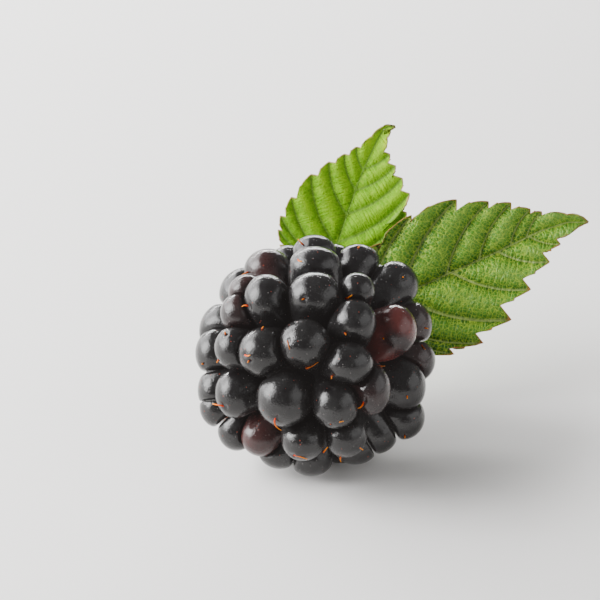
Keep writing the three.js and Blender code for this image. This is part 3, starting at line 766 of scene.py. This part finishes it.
@dataclass
class DriedStyles:
    """The dried styles that still stand on the drupelets, one thread each."""

    # Root across and up, then tip across and up, as seen.
    threads: tuple = (
        (-1.3, 11.4, -1.85, 11.9, StyleTone.ORANGE), (-1.9, 10.0, -1.45, 9.6, StyleTone.ORANGE),
        (-6.97, 8.5, -7.69, 8.1, StyleTone.ORANGE), (-6.87, 4.95, -7.6, 4.95, StyleTone.ORANGE),
        (2.97, 5.74, 3.69, 6.15, StyleTone.GOLD), (-7.38, 0.0, -6.76, 0.0, StyleTone.ORANGE),
        (-1.02, -1.33, 0.2, -0.72, StyleTone.BROWN), (6.25, -1.02, 7.07, -1.13, StyleTone.BROWN),
        (4.92, -4.61, 4.3, -5.43, StyleTone.ORANGE), (-9.33, -5.33, -10.6, -5.02, StyleTone.ORANGE),
        (-4.1, -6.35, -3.59, -7.69, StyleTone.GOLD), (1.33, -7.17, 2.77, -6.76, StyleTone.GOLD),
        (0.61, -10.15, 1.23, -9.33, StyleTone.ORANGE), (-2.36, -10.35, -0.92, -10.66, StyleTone.GOLD),
        (4.1, -9.33, 4.82, -9.74, StyleTone.ORANGE), (2.67, -10.45, 2.56, -10.97, StyleTone.ORANGE),
        (-6.46, -10.45, -6.05, -9.94, StyleTone.GOLD), (-2.9, 1.5, -2.7, 0.6, StyleTone.BROWN),
        (10.9, 1.1, 11.2, 0.6, StyleTone.BROWN),
    )
    # Short stubs broken off near the skin, across and up, as seen.
    stubs: tuple = (
        (-1.23, 5.74), (4.3, 11.0), (8.92, 8.0), (2.97, 2.26), (6.87, 1.74), (11.2, 2.77), (-6.87, -0.62),
        (-10.05, -0.51), (-11.6, -0.92), (1.64, -2.15), (9.33, -4.2), (9.12, -8.3), (-9.3, 2.15),
        (-5.54, 2.67),
    )
    radius: float = 0.11
    taper: float = 0.65
    facets: int = 6
    bends: int = 5
    rooted: float = 0.15
    stub_rooted: float = 0.1
    stub_length: float = 0.3
    stub_lean: float = 0.5
    stub_width: float = 1.1
    stub_brown: float = 0.5
    bow_share: float = 0.22
    bow_toward: float = 0.7
    sink: float = 0.9
    hidden_length: float = 0.9
    hidden_lean: float = 0.5
    hidden_tip_lean: float = 0.8
    hidden_bow: float = 0.1
    hidden_brown: float = 0.6
    lift: float = 0.3
    seed: int = 7

    def thread(self, root: Array, tip: Array, bow: Array, radius: float, tone: float) -> bpy.types.Object:
        """One bent, tapering thread.

        Args:
            root: where it grows out of the skin.
            tip: its free end.
            bow: how far its middle stands off the straight line.
            radius: its radius at the root.
            tone: share of brown in its colour.

        Returns:
            The thread, with attributes for its shader.
        """
        thing = straight_rod(self.facets, self.bends)
        local = vertices_of(thing)
        along = local[:, 2]
        line = unit(tip - root)
        side = unit(np.cross(line, TOWARD + 0.3 * ACROSS))
        other = np.cross(line, side)
        # It bends most a little nearer to its root.
        arc = 4 * along**0.7 * (1 - along)
        centre = root + along[:, None] * (tip - root) + arc[:, None] * bow
        width = (radius * (1 - self.taper * along))[:, None]
        set_vertices(thing, centre + local[:, :1] * width * side + local[:, 1:2] * width * other)
        add_attribute(thing, "along", along)
        add_attribute(thing, "tone", np.full(len(along), tone))
        return thing

    def build(self, head: DrupeletHead) -> bpy.types.Object:
        """Builds every thread and stub and returns them as one piece."""
        rng = np.random.default_rng(self.seed)
        pieces = []
        for (across, up, tip_across, tip_up, tone), skin, normal in head.skin_under(self.threads):
            run = view_point(tip_across - across, tip_up - up, 0)
            below = head.surface_at(tip_across, tip_up)
            rise = 0.0 if below is None else float((below[0] - skin - run) @ TOWARD)
            rise = min(max(rise, -self.sink), self.sink)
            tip = skin + run + (rise + self.lift) * TOWARD
            sway = unit(rng.normal(size=3) + self.bow_toward * TOWARD)
            bow = self.bow_share * np.linalg.norm(run) * sway
            pieces.append(self.thread(skin - self.rooted * normal, tip, bow, self.radius, tone.value))
        for _, skin, normal in head.skin_under(self.stubs):
            lean = self.stub_lean * unit(rng.normal(size=3))
            tip = skin + self.stub_length * unit(normal + lean)
            root = skin - self.stub_rooted * normal
            tone = rng.uniform(0, self.stub_brown)
            pieces.append(self.thread(root, tip, np.zeros(3), self.stub_width * self.radius, tone))
        lowest = FLAT_CUT - BERRY_HALF[2] + self.lift
        for one in head.drupelets:
            if one.seen:
                continue
            lean = unit(head.outward(one) + self.hidden_lean * rng.normal(size=3))
            skin = one.middle + lean * head.reach(lean[None], one)[0]
            length = self.hidden_length * rng.uniform(0.4, 1)
            tip = skin + length * unit(lean + self.hidden_tip_lean * rng.normal(size=3))
            if min(skin[2], tip[2]) > lowest:
                bow = self.hidden_bow * rng.normal(size=3)
                tone = rng.uniform(0, self.hidden_brown)
                pieces.append(self.thread(skin - self.rooted * lean, tip, bow, self.radius, tone))
        return join(pieces, "dried_styles")


# ---- rods and leaves

STALK_ROUTE = list(np.array([[0, 13.7, 0], [-0.2, 16.2, -0.7], [-0.6, 18.7, -1.9], [-1.1, 21.2, -2.9]]))
STALK_RADIUS = 0.85
STALK_FACETS = 18
STALK_RIDGES = 5
STALK_RIDGE = 0.04


def nearest(places: Array, samples: Array) -> Array:
    """Distance from each place to the nearest sample, both in rows."""
    squares = (places**2).sum(1)[:, None] + (samples**2).sum(1)[None] - 2 * places @ samples.T
    return np.sqrt(np.maximum(squares.min(1), 0))


@dataclass(frozen=True)
class LeafSide:
    """One side of a leaf's margin.

    A row of the margin gives its place along and out, and how deep the notch past the tooth is cut; a
    cut of 0 is a plain point. The hook is how far the notch leans toward the leaf's tip.
    """

    sign: int
    sweep: float
    hook: float
    bulge: float
    spur: float
    margin: tuple


@dataclass
class Leaf:
    """A toothed leaf with a pressed-in net of veins and its petiole."""

    name: str
    node: str
    base: tuple[float, float]
    chord: tuple[float, float]
    depth: float
    length: float
    grow: float
    midrib: tuple
    sides: tuple[LeafSide, LeafSide]
    puff_height: float
    petiole_part: float
    fold: float = 0.12
    bow: float = 1.2
    thickness: float = 0.42
    rows: int = 36
    tooth_parts: tuple = (0.12, 0.24, 0.33, 0.4, 0.43, 0.47, 0.55, 0.64, 0.73, 0.82, 0.9, 0.96, 1.0)
    spur_shape: tuple = (0.0, 0.3, 0.7, 1.0, 0.9, 0.0, 0.0, 0.0, 0.0, 0.0, 0.0, 0.0, 0.0)
    notch_parts: tuple = (0.3, 0.65, 1.0)
    least_foot_step: float = 0.004
    base_half: float = 0.3
    arch: float = 0.085
    vein_width: float = 0.07
    midrib_width: float = 0.13
    midrib_rise: float = 0.07
    midrib_taper: float = 0.6
    valley: float = 0.9
    edge_thin: float = 0.3
    edge_run: float = 1.6
    web_thin: float = 0.7
    petiole_radius: float = 0.5
    petiole_start: tuple[float, float] = (0.8, -0.25)
    petiole_bend: tuple[float, float] = (-0.6, -0.45)
    vein_samples: int = 160
    vein_end: float = 0.97
    petiole_rings: int = 14
    rim_width: float = 0.16
    least_span: float = 0.4
    row_crowding: float = 1.15
    tip_pale: float = 0.7
    crown_blend: float = 0.3
    puff_reach: float = 0.75
    puff_sink: float = 0.4
    ripple_height: float = 0.06
    ripple_run: tuple[float, float] = (1.9, 0.7)

    def midrib_across(self, along: Array) -> Array:
        """Across position of the midrib at places along the chord."""
        rows = np.array(self.midrib)
        return np.interp(along, rows[:, 0], rows[:, 1])

    def margin(self, side: LeafSide) -> tuple[Array, Array, list[int]]:
        """The margin of one side from base to tip.

        Args:
            side: which side, with its teeth.

        Returns:
            Points along and out, the foot of each point's ray on the midrib, and the places in the
            list where a main tooth ends.
        """
        points = [np.array([0.0, self.base_half * side.sign])]
        teeth = []
        last = points[0]
        for along, out, cut in (*side.margin, (self.length, 0.0, 0.0)):
            end = np.array([along, out])
            reach = end - last
            outward = np.array([-reach[1], reach[0]]) * side.sign
            for part, spur in zip(self.tooth_parts, self.spur_shape):
                off = side.bulge * math.sin(math.pi * part) ** 0.8 * outward
                if cut:
                    off = off + side.spur * spur * unit(outward)
                points.append(last + part * reach + off)
            last = end
            if cut:
                teeth.append(len(points) - 1)
                notch = end + np.array([side.hook * cut, -side.sign * cut])
                points += [end + part * (notch - end) for part in self.notch_parts]
                last = notch
        margin = np.array(points)
        out = np.abs(margin[:, 1] - self.midrib_across(margin[:, 0]))
        wanted = margin[:, 0] - side.sweep * out
        feet = []
        foot = 0.0
        for k, place in enumerate(wanted):
            furthest = self.length - self.least_foot_step * (len(margin) - 1 - k)
            foot = min(max(place, foot + self.least_foot_step), furthest)
            feet.append(foot)
        feet[-1] = self.length
        return margin, np.array(feet), teeth

    def ray(self, foot: Array, end: Array, part: Array, sign: int) -> Array:
        """Points on the line from the midrib to the margin, arched toward the leaf's base.

        Args:
            foot: rows of the line's start.
            end: rows of its end on the margin.
            part: parts of the way, one for each row.
            sign: side of the leaf.

        Returns:
            Rows of along and across.
        """
        run = end - foot
        back = np.stack([-run[:, 1], run[:, 0]], 1) * sign
        return foot + part[:, None] * run + (4 * part * (1 - part) * self.arch)[:, None] * back

    def veins(self, margin: Array, feet: Array, teeth: list[int], sign: int) -> list[Array]:
        """Sample points on each side vein and on the midrib, for distances."""
        veins = []
        count = self.vein_samples
        part = np.linspace(0, self.vein_end, count)
        for tooth in teeth:
            foot = np.array([[feet[tooth], float(self.midrib_across(feet[tooth]))]])
            ends = np.repeat(margin[tooth : tooth + 1], count, 0)
            veins.append(self.ray(np.repeat(foot, count, 0), ends, part, sign))
        rib = np.linspace(0, self.length, 4 * count)
        veins.append(np.stack([rib, self.midrib_across(rib)], 1))
        return veins

    def midrib_ridge(self, flat: Array) -> Array:
        """How much of the midrib's ridge there is at each place, from 0 to 1."""
        off = flat[:, 1] - self.midrib_across(flat[:, 0])
        width = self.midrib_width * (1 - self.midrib_taper * flat[:, 0] / self.length)
        return np.exp(-((off / np.maximum(width, self.vein_width)) ** 2))

    def height(self, flat: Array, distance: Array) -> Array:
        """Height of the upper face: a shallow fold, a bow, and blade puffed up between the veins."""
        out = np.abs(flat[:, 1] - self.midrib_across(flat[:, 0]))
        puff = 1 - np.exp(-distance / self.valley)
        ripple = self.ripple_height * np.sin(flat @ self.ripple_run) * np.minimum(out / 3, 1)
        bow = self.bow * (flat[:, 0] / self.length) ** 2
        rib = self.midrib_rise * self.midrib_ridge(flat)
        level = self.thickness / 2 - self.puff_sink * self.puff_height
        return level + self.fold * out - bow + self.puff_height * puff + ripple + rib

    def start(self) -> Array:
        """Where the midrib begins, in the berry's coordinates."""
        return view_point(self.base[0] * self.grow, self.base[1] * self.grow, -self.depth)

    def put(self, flat: Array, height: Array) -> Array:
        """Places leaf coordinates in the berry's coordinates."""
        chord = unit(self.chord[0] * ACROSS + self.chord[1] * UPWARD)
        across = np.cross(TOWARD, chord)
        level = self.grow * (flat[:, :1] * chord + flat[:, 1:2] * across)
        return self.start() + level + height[:, None] * TOWARD

    def half(self, side: LeafSide) -> bpy.types.Object:
        """One half of the blade: a grid from the midrib to the margin, thickened downward."""
        margin, feet, teeth = self.margin(side)
        count = len(margin)
        grid = bpy.ops.mesh.primitive_grid_add
        half = fresh(grid, x_subdivisions=count - 1, y_subdivisions=self.rows - 1, size=2)
        places = (vertices_of(half)[:, :2] + 1) / 2
        ray = np.rint(places[:, 0] * (count - 1)).astype(int)
        foot = np.stack([feet, self.midrib_across(feet)], 1)
        row = np.rint(places[:, 1] * (self.rows - 1)).astype(int)
        span = np.linalg.norm(margin - foot, axis=1)[ray]
        # The last row but one stands a rim's width inside the margin, and the rows crowd toward the midrib.
        inner = 1 - self.rim_width / np.maximum(span, self.least_span)
        part = np.where(row == self.rows - 2, inner, places[:, 1] ** self.row_crowding)
        flat = self.ray(foot[ray], margin[ray], part, side.sign)
        apart = np.stack([nearest(flat, vein) for vein in self.veins(margin, feet, teeth, side.sign)])
        distance = apart.min(0)
        # The crown between two veins is round, so their distances are blended there.
        crown = np.maximum(0, -self.crown_blend * np.log(np.exp(-apart / self.crown_blend).sum(0)))
        edge = nearest(flat, margin)
        midrib = self.midrib_ridge(flat)
        vein = np.maximum(np.exp(-((distance / self.vein_width) ** 2)), midrib)
        set_vertices(half, self.put(flat, self.height(flat, crown)))
        add_attribute(half, "vein", vein)
        add_attribute(half, "rim", (edge < self.rim_width / 2).astype(float))
        # The puff number runs from the hollows by the veins to the crowns and is higher toward the tip; from
        # it the shader paints shade in the hollows and light on the crowns.
        paler = self.tip_pale * (flat[:, 0] / self.length) ** 2
        add_attribute(half, "puff", 1 - np.exp(-crown / self.puff_reach) + paler)
        lateral = unit(np.array([side.sweep, float(side.sign)]))
        crosswise = np.array([lateral[1], -lateral[0]])
        self.add_net(half, np.stack([flat @ crosswise, flat @ lateral], 1))
        if side.sign < 0:
            edit(half, bpy.ops.mesh.flip_normals)
        # It thins toward its margin, and between the veins.
        web = self.web_thin + (1 - self.web_thin) * vein
        share = np.minimum(1, self.edge_thin + self.edge_run * edge) * web
        solidify(half, share, self.thickness, -1)
        add_attribute(half, "upper", np.arange(len(half.data.vertices)) < len(share))
        return half

    def add_net(self, thing: bpy.types.Object, net: Array) -> None:
        """Stores the coordinates that the vein net is drawn in, in millimetres, as a UV map."""
        for layer in list(thing.data.uv_layers):
            thing.data.uv_layers.remove(layer)
        layer = thing.data.uv_layers.new(name="net")
        corners = np.empty(len(thing.data.loops), dtype=np.int64)
        thing.data.loops.foreach_get("vertex_index", corners)
        layer.data.foreach_set("uv", net[corners].astype(np.float32).ravel())

    def petiole(self) -> bpy.types.Object:
        """The leaf's own stalk, from the blade to the side of the berry's stalk that faces it."""
        on_stalk = catmull(STALK_ROUTE, self.petiole_part)
        tangent = unit(catmull(STALK_ROUTE, self.petiole_part + 0.01) - on_stalk)
        outward = self.start() - on_stalk
        outward = unit(outward - (outward @ tangent) * tangent)
        end = on_stalk + outward * (STALK_RADIUS + 0.02)
        # It starts a little way under the blade and bends just past the blade's base.
        along = np.array([self.petiole_start[0], self.petiole_bend[0]])
        sunk = np.array([self.petiole_start[1], self.petiole_bend[1]])
        start, bend = self.put(np.stack([along, self.midrib_across(along)], 1), sunk)
        petiole = stalk_rod([start, bend, end], self.petiole_radius, self.petiole_rings)
        # To the leaf's finish it is one broad vein.
        count = len(petiole.data.vertices)
        for name, value in (("vein", 0.6), ("rim", 0.0), ("puff", 0.3), ("upper", 1.0)):
            add_attribute(petiole, name, np.full(count, value))
        self.add_net(petiole, np.zeros((count, 2)))
        return petiole

    def build(self) -> bpy.types.Object:
        """Builds the leaf and returns it as one piece."""
        blade = join([self.half(side) for side in self.sides], self.name)
        edit(blade, bpy.ops.mesh.remove_doubles, threshold=0.001 * MM)
        return join([blade, self.petiole()], self.name)


def catmull(points: list[Array], part: float) -> Array:
    """A point on a smooth curve through points, at a part of the way from 0 to 1."""
    spans = len(points) - 1
    place = min(part * spans, spans - 1e-9)
    k = int(place)
    t = place - k
    before = points[k - 1] if k > 0 else 2 * points[0] - points[1]
    after = points[k + 2] if k + 2 <= spans else 2 * points[-1] - points[-2]
    a, b = points[k], points[k + 1]
    square = (2 * before - 5 * a + 4 * b - after) * t**2
    cube = (3 * a - before - 3 * b + after) * t**3
    return 0.5 * (2 * a + (b - before) * t + square + cube)


def straight_rod(sides: int, rings: int) -> bpy.types.Object:
    """A closed rod of radius 1 along z from 0 to 1, cut into rings.

    Args:
        sides: faces round it.
        rings: lengths that it is cut into.

    Returns:
        The rod, to be bent.
    """
    cylinder = bpy.ops.mesh.primitive_cylinder_add
    rod = fresh(cylinder, vertices=sides, depth=1, end_fill_type="TRIFAN", location=(0, 0, 0.5))
    bpy.ops.object.mode_set(mode="EDIT")
    for ring in range(1, rings):
        bpy.ops.mesh.select_all(action="SELECT")
        bpy.ops.mesh.bisect(plane_co=(0, 0, ring / rings), plane_no=(0, 0, 1))
    bpy.ops.object.mode_set(mode="OBJECT")
    bpy.ops.object.transform_apply(location=True)
    return rod


def stalk_rod(
    route: list[Array], radius: float, rings: int, flare: tuple[float, float] = (1.0, 1.0)
) -> bpy.types.Object:
    """A ridged stalk along a smooth route.

    Args:
        route: points in the berry's coordinates.
        radius: radius in millimetres.
        rings: lengths along it.
        flare: factor on the radius at its start and at its end.

    Returns:
        The stalk.
    """
    rod = straight_rod(STALK_FACETS, rings)
    local = vertices_of(rod)
    points = np.empty_like(local)
    for number, (x, y, part) in enumerate(local):
        centre = catmull(route, part)
        ahead = catmull(route, min(part + 0.01, 1.0)) - catmull(route, max(part - 0.01, 0.0))
        line = unit(ahead)
        side = unit(np.cross(line, np.array([0.1, 0.2, 1.0])))
        widen = 1 + (flare[0] - 1) * (1 - part) ** 4 + (flare[1] - 1) * part**8
        ridge = 1 + STALK_RIDGE * math.cos(STALK_RIDGES * math.atan2(y, x))
        points[number] = centre + radius * widen * ridge * (x * side + y * np.cross(line, side))
    set_vertices(rod, points)
    return rod


UPPER_LEAF = Leaf(
    name="upper_leaf",
    node="leaf_upper",
    base=(1.4, 8.6),
    chord=(0.424, 0.906),
    depth=17.5,
    length=16.1,
    grow=1.044,
    midrib=((0, 0), (4.9, 0.6), (8.7, 1.0), (11.3, 1.1), (14.2, 1.1), (15.4, 0.95), (15.9, 0.6), (16.1, 0)),
    sides=(
        LeafSide(
            sign=1,
            sweep=1.15,
            hook=0.3,
            bulge=0.1,
            spur=0.08,
            margin=(
                (-0.5, 2.2, 0), (-0.5, 4.3, 0), (0.1, 5.6, 0.3), (1.4, 6.4, 0.35), (2.8, 6.8, 0.5),
                (5.0, 6.6, 0.5), (8.0, 5.75, 0.65), (9.95, 4.65, 0.6), (11.35, 3.55, 0.45),
                (12.55, 2.75, 0.4), (14.2, 1.8, 0), (15.5, 1.25, 0), (16.0, 0.7, 0),
            ),
        ),
        LeafSide(
            sign=-1,
            sweep=1.45,
            hook=-0.08,
            bulge=0.1,
            spur=0.08,
            margin=(
                (-0.5, -2.0, 0), (-0.2, -3.8, 0), (1.4, -4.8, 0.4), (3.6, -5.3, 0.5), (6.2, -5.3, 0.5),
                (8.6, -4.75, 0.6), (10.5, -4.2, 0.9), (11.6, -2.85, 1.0), (12.5, -1.7, 0.8),
                (13.35, -0.65, 0.6), (14.7, 0.25, 0), (15.7, 0.3, 0),
            ),
        ),
    ),
    puff_height=0.6,
    petiole_part=0.7,
    vein_width=0.14,
    midrib_width=0.16,
)

SIDE_LEAF = Leaf(
    name="side_leaf",
    node="leaf_side",
    base=(5.3, 4.0),
    chord=(0.924, 0.384),
    depth=14.6,
    length=24.6,
    grow=1.037,
    midrib=((0, 0), (5.6, 0.5), (10.5, 0.65), (15.0, 0.77), (19.7, 1.05), (22.6, 0.8), (24.6, 0)),
    sides=(
        LeafSide(
            sign=1,
            sweep=1.35,
            hook=-0.42,
            bulge=0.11,
            spur=0.1,
            margin=(
                (-0.3, 2.0, 0), (0.6, 4.4, 0), (2.3, 5.85, 0), (4.0, 6.15, 0.25), (8.05, 7.6, 0.6),
                (12.95, 7.3, 1.0), (15.9, 5.85, 0.6), (18.0, 4.85, 0.6), (19.6, 3.5, 0.4),
                (20.6, 2.8, 0.3), (22.9, 1.55, 0), (24.1, 0.9, 0),
            ),
        ),
        LeafSide(
            sign=-1,
            sweep=1.38,
            hook=-0.27,
            bulge=0.01,
            spur=0.17,
            margin=(
                (-0.3, -2.0, 0), (0.9, -4.6, 0), (3.2, -6.3, 0.5), (6.6, -7.2, 0.7), (9.8, -7.3, 1.2),
                (13.4, -6.2, 1.8), (16.45, -4.1, 1.3), (19.35, -2.25, 1.1), (21.1, -1.0, 0.6),
                (22.2, -0.45, 0), (23.5, -0.1, 0),
            ),
        ),
    ),
    puff_height=0.95,
    petiole_part=0.35,
    vein_width=0.1,
)


# ---- calyx and stalk


@dataclass
class StalkEnd:
    """The calyx with its five sepals, and the short cut stalk."""

    calyx_y: float = 11.1
    cup_radius: float = 2.0
    cup_height: float = 2.3
    cup_lobe: float = 0.05
    cup_narrow: float = 0.8
    sepals: int = 5
    first_sepal: float = 0.25
    sepal_y: float = 13.05
    sepal_root: float = 1.2
    sepal_length: float = 5.2
    sepal_half_width: float = 1.75
    sepal_tip: float = 0.05
    sepal_thickness: float = 0.45
    sepal_thin: float = 0.75
    sepal_start: float = 0.28
    sepal_round: float = 0.8
    sepal_wave: float = 0.07
    sepal_waves: float = 9.0
    sepal_rib: float = 0.1
    sepal_rib_width: float = 0.12
    sepal_curl: float = 0.5
    sepal_turn: float = 4.2
    sepal_cup: float = 0.15
    hair_radius: float = 0.022
    hair_lean: float = 0.45
    calyx_hair: float = 0.35
    stalk_hair: float = 0.4
    stalk_rings: int = 40
    stalk_flare: tuple[float, float] = (1.12, 1.04)
    calyx_seed: int = 3
    stalk_seed: int = 5

    def sepal(self, number: int) -> bpy.types.Object:
        """One pointed sepal laid back over the drupelets round the stalk."""
        sepal = fresh(bpy.ops.mesh.primitive_grid_add, x_subdivisions=26, y_subdivisions=16, size=2)
        lane = vertices_of(sepal)[:, 1]
        part = (vertices_of(sepal)[:, 0] + 1) / 2
        # Broad at the root and widest a little past it, then drawn in to a blunt point.
        outline = np.sin(math.pi * (self.sepal_start + (1 - self.sepal_start) * part))
        half = np.maximum(self.sepal_tip, outline.clip(0) ** self.sepal_round)
        radial = self.sepal_root + self.sepal_length * part
        turn = (number + self.first_sepal) * 2 * math.pi / self.sepals
        swing = turn + lane * self.sepal_half_width * half / radial
        wave = self.sepal_wave * np.sin(self.sepal_waves * part + 2 * number) * lane
        rib = self.sepal_rib * np.exp(-((lane / self.sepal_rib_width) ** 2))
        curl = self.sepal_curl * np.sin(self.sepal_turn * part) - self.sepal_cup * lane**2
        y = self.sepal_y + curl + wave + rib
        set_vertices(sepal, np.stack([radial * np.cos(swing), y, radial * np.sin(swing)], 1))
        solidify(sepal, 1 - self.sepal_thin * np.abs(lane) ** 3, self.sepal_thickness, 0)
        return sepal

    def cup(self) -> bpy.types.Object:
        """The low cup that joins the sepals to the stalk."""
        cup = fresh(bpy.ops.mesh.primitive_uv_sphere_add, segments=40, ring_count=24)
        local = vertices_of(cup)
        angle = np.arctan2(local[:, 1], local[:, 0])
        around = np.hypot(local[:, 0], local[:, 1]) * (1 + self.cup_lobe * np.cos(self.sepals * angle))
        height = local[:, 2]
        radius = self.cup_radius * around * np.where(height < 0, 1.0, self.cup_narrow)
        y = self.calyx_y + self.cup_height * (0.5 + 0.5 * height)
        set_vertices(cup, np.stack([radius * np.cos(angle), y, radius * np.sin(angle)], 1))
        return cup

    def down(self, thing: bpy.types.Object, every: int, length: float, seed: int) -> bpy.types.Object:
        """Short fine hairs as slim spikes with three sides.

        Args:
            thing: the surface that they stand on.
            every: one hair stands on every so many vertices.
            length: the longest hair, in millimetres.
            seed: seed of the random numbers.

        Returns:
            All the hairs.
        """
        rng = np.random.default_rng(seed)
        points, faces = [], []
        for vertex in list(thing.data.vertices)[::every]:
            place = np.array(vertex.co) / MM - MIDDLE
            line = unit(np.array(vertex.normal) + self.hair_lean * rng.normal(size=3))
            side = unit(np.cross(line, rng.normal(size=3)))
            other = np.cross(line, side)
            start = len(points)
            for k in range(3):
                angle = 2 * math.pi * k / 3
                points.append(place + self.hair_radius * (math.cos(angle) * side + math.sin(angle) * other))
            points.append(place + line * length * rng.uniform(0.5, 1))
            faces += [(start + k, start + (k + 1) % 3, start + 3) for k in range(3)]
            faces.append((start + 2, start + 1, start))
        mesh = bpy.data.meshes.new("down")
        mesh.from_pydata((np.array(points) + MIDDLE) * MM, [], faces)
        down = bpy.data.objects.new("down", mesh)
        bpy.context.collection.objects.link(down)
        return down

    def build_calyx(self) -> bpy.types.Object:
        """Builds the cup with its sepals and their down."""
        calyx = join([self.cup(), *[self.sepal(k) for k in range(self.sepals)]], "calyx_cup")
        edit(calyx, bpy.ops.mesh.normals_make_consistent, inside=False)
        return join([calyx, self.down(calyx, 2, self.calyx_hair, self.calyx_seed)], "calyx_cup")

    def build_stalk(self) -> bpy.types.Object:
        """Builds the stalk with its down."""
        stalk = stalk_rod(STALK_ROUTE, STALK_RADIUS, self.stalk_rings, self.stalk_flare)
        return join([stalk, self.down(stalk, 1, self.stalk_hair, self.stalk_seed)], "stalk_cut")


# ---- studio

CAMERA_DISTANCE = 400.0
# The middle of the picture lies this far from the middle of the berry, across and up.
AIM = (-1.64, 5.64)
PICTURE_WIDTH = 61.5
SENSOR_WIDTH = 36.0
CAMERA_OFFSET = view_point(AIM[0], AIM[1], CAMERA_DISTANCE)


@dataclass(frozen=True)
class Softbox:
    """One soft studio light: its direction from the berry, distance, size and power."""

    name: str
    direction: tuple[float, float, float]
    distance: float
    width: float
    height: float
    power: float

    def place(self) -> None:
        """Adds the light, aimed at the berry."""
        lamp = fresh(bpy.ops.object.light_add, type="AREA")
        lamp.name = self.name
        lamp.data.shape = "RECTANGLE"
        lamp.data.size = self.width * MM
        lamp.data.size_y = self.height * MM
        lamp.data.energy = self.power
        toward_lamp = Vector(self.direction).normalized()
        lamp.location = Vector(MIDDLE * MM) + toward_lamp * self.distance * MM
        lamp.rotation_euler = (-toward_lamp).to_track_quat("-Z", "Y").to_euler()


@dataclass
class Studio:
    """Pale floor, soft lights and the camera."""

    lights: tuple[Softbox, ...] = (
        Softbox("wall_left", (-0.87, 0.22, 0.45), 340, 600, 300, 4.9),
        Softbox("key_left", (-0.9, -0.03, 0.47), 320, 200, 230, 2.0),
        Softbox("wall_right", (0.84, -0.26, 0.42), 340, 460, 280, 0.65),
        Softbox("rim_back", (-0.12, 0.95, 0.3), 300, 300, 13, 1.0),
    )
    floor_width: float = 3000.0
    surround: float = 0.26

    def camera(self) -> None:
        """Adds the camera at the viewing angle of the picture."""
        data = bpy.data.cameras.new("camera")
        data.sensor_width = SENSOR_WIDTH
        data.lens = SENSOR_WIDTH * CAMERA_DISTANCE / PICTURE_WIDTH
        data.clip_start = 0.01
        data.clip_end = 10
        camera = bpy.data.objects.new("camera", data)
        bpy.context.collection.objects.link(camera)
        turn = Matrix((ACROSS, UPWARD, TOWARD)).transposed().to_4x4()
        camera.matrix_world = Matrix.Translation(Vector((MIDDLE + CAMERA_OFFSET) * MM)) @ turn
        bpy.context.scene.camera = camera

    def floor(self) -> None:
        """Adds the floor, matt and pale."""
        floor = fresh(bpy.ops.mesh.primitive_plane_add, size=self.floor_width * MM)
        floor.name = "floor"
        floor.data.materials.append(BackdropPaper().make())

    def world(self) -> None:
        """Sets a dim, even surround."""
        world = bpy.data.worlds.new("surround")
        bpy.context.scene.world = world
        world.use_nodes = True
        background = world.node_tree.nodes["Background"]
        background.inputs["Color"].default_value = linear("#ffffff")
        background.inputs["Strength"].default_value = self.surround

    def build(self) -> None:
        """Builds the whole studio."""
        self.floor()
        self.world()
        for light in self.lights:
            light.place()
        self.camera()


# ---- assembly


def place_piece(
    piece: bpy.types.Object, nodes: list[str], material: bpy.types.Material
) -> None:
    """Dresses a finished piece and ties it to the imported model.

    Args:
        piece: the piece.
        nodes: CAD nodes that it stands for.
        material: its finish.
    """
    piece.data.materials.clear()
    piece.data.materials.append(material)
    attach(piece, BODY)
    if nodes:
        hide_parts(*nodes)
    piece.data.calc_loop_triangles()
    LOG.info("%s: %d triangles", piece.name, len(piece.data.loop_triangles))


def main() -> None:
    """Builds and dresses the berry, and sets up the studio."""
    logging.basicConfig(level=logging.INFO, format="%(name)s: %(message)s")
    styles = DriedStyles()
    head = DrupeletHead(dimples=(*styles.stubs, *[row[:2] for row in styles.threads]))
    place_piece(head.build(), ["drupelet_head"], DrupeletSkin().make())
    place_piece(styles.build(head), [], DriedStyleFibre().make())
    young = LeafBlade(
        name="leaf_blade_young",
        greens_painted_shade_to_light=("#3c6410", "#679d12", "#86b916", "#b0ca1c"),
        vein="#688c36",
        net="#9bbb34",
        rim="#b58a6a",
        under="#66823a",
        roughness=0.72,
        gloss=0.05,
        puff_depth=0.042,
        net_strength=0.2,
        ladder=(1.8, 0.4),
        blotch=0.8,
        painted_shade_share=0.45,
    )
    grown = LeafBlade(
        name="leaf_blade_grown",
        greens_painted_shade_to_light=("#1e4408", "#34640f", "#4f8120", "#629036"),
        vein="#8ea255",
        net="#a8c238",
        rim="#a8603a",
        under="#587534",
        roughness=0.5,
        gloss=0.32,
        puff_depth=0.085,
        net_strength=0.36,
        ladder=(0.95, 0.5),
        blotch=2.6,
        painted_shade_share=0.65,
    )
    place_piece(UPPER_LEAF.build(), [UPPER_LEAF.node], young.make())
    place_piece(SIDE_LEAF.build(), [SIDE_LEAF.node], grown.make())
    end = StalkEnd()
    sepal_green = DownyGreen("plant_tissue_downy_sepal", "#4a662a", "#7d9058", "#7a5038")
    stalk_green = DownyGreen("plant_tissue_downy_stalk", "#48661f", "#748a42", "#7a4030")
    place_piece(end.build_calyx(), ["calyx"], sepal_green.make())
    place_piece(end.build_stalk(), ["stalk"], stalk_green.make())
    Studio().build()


if __name__ == "__main__":
    main()
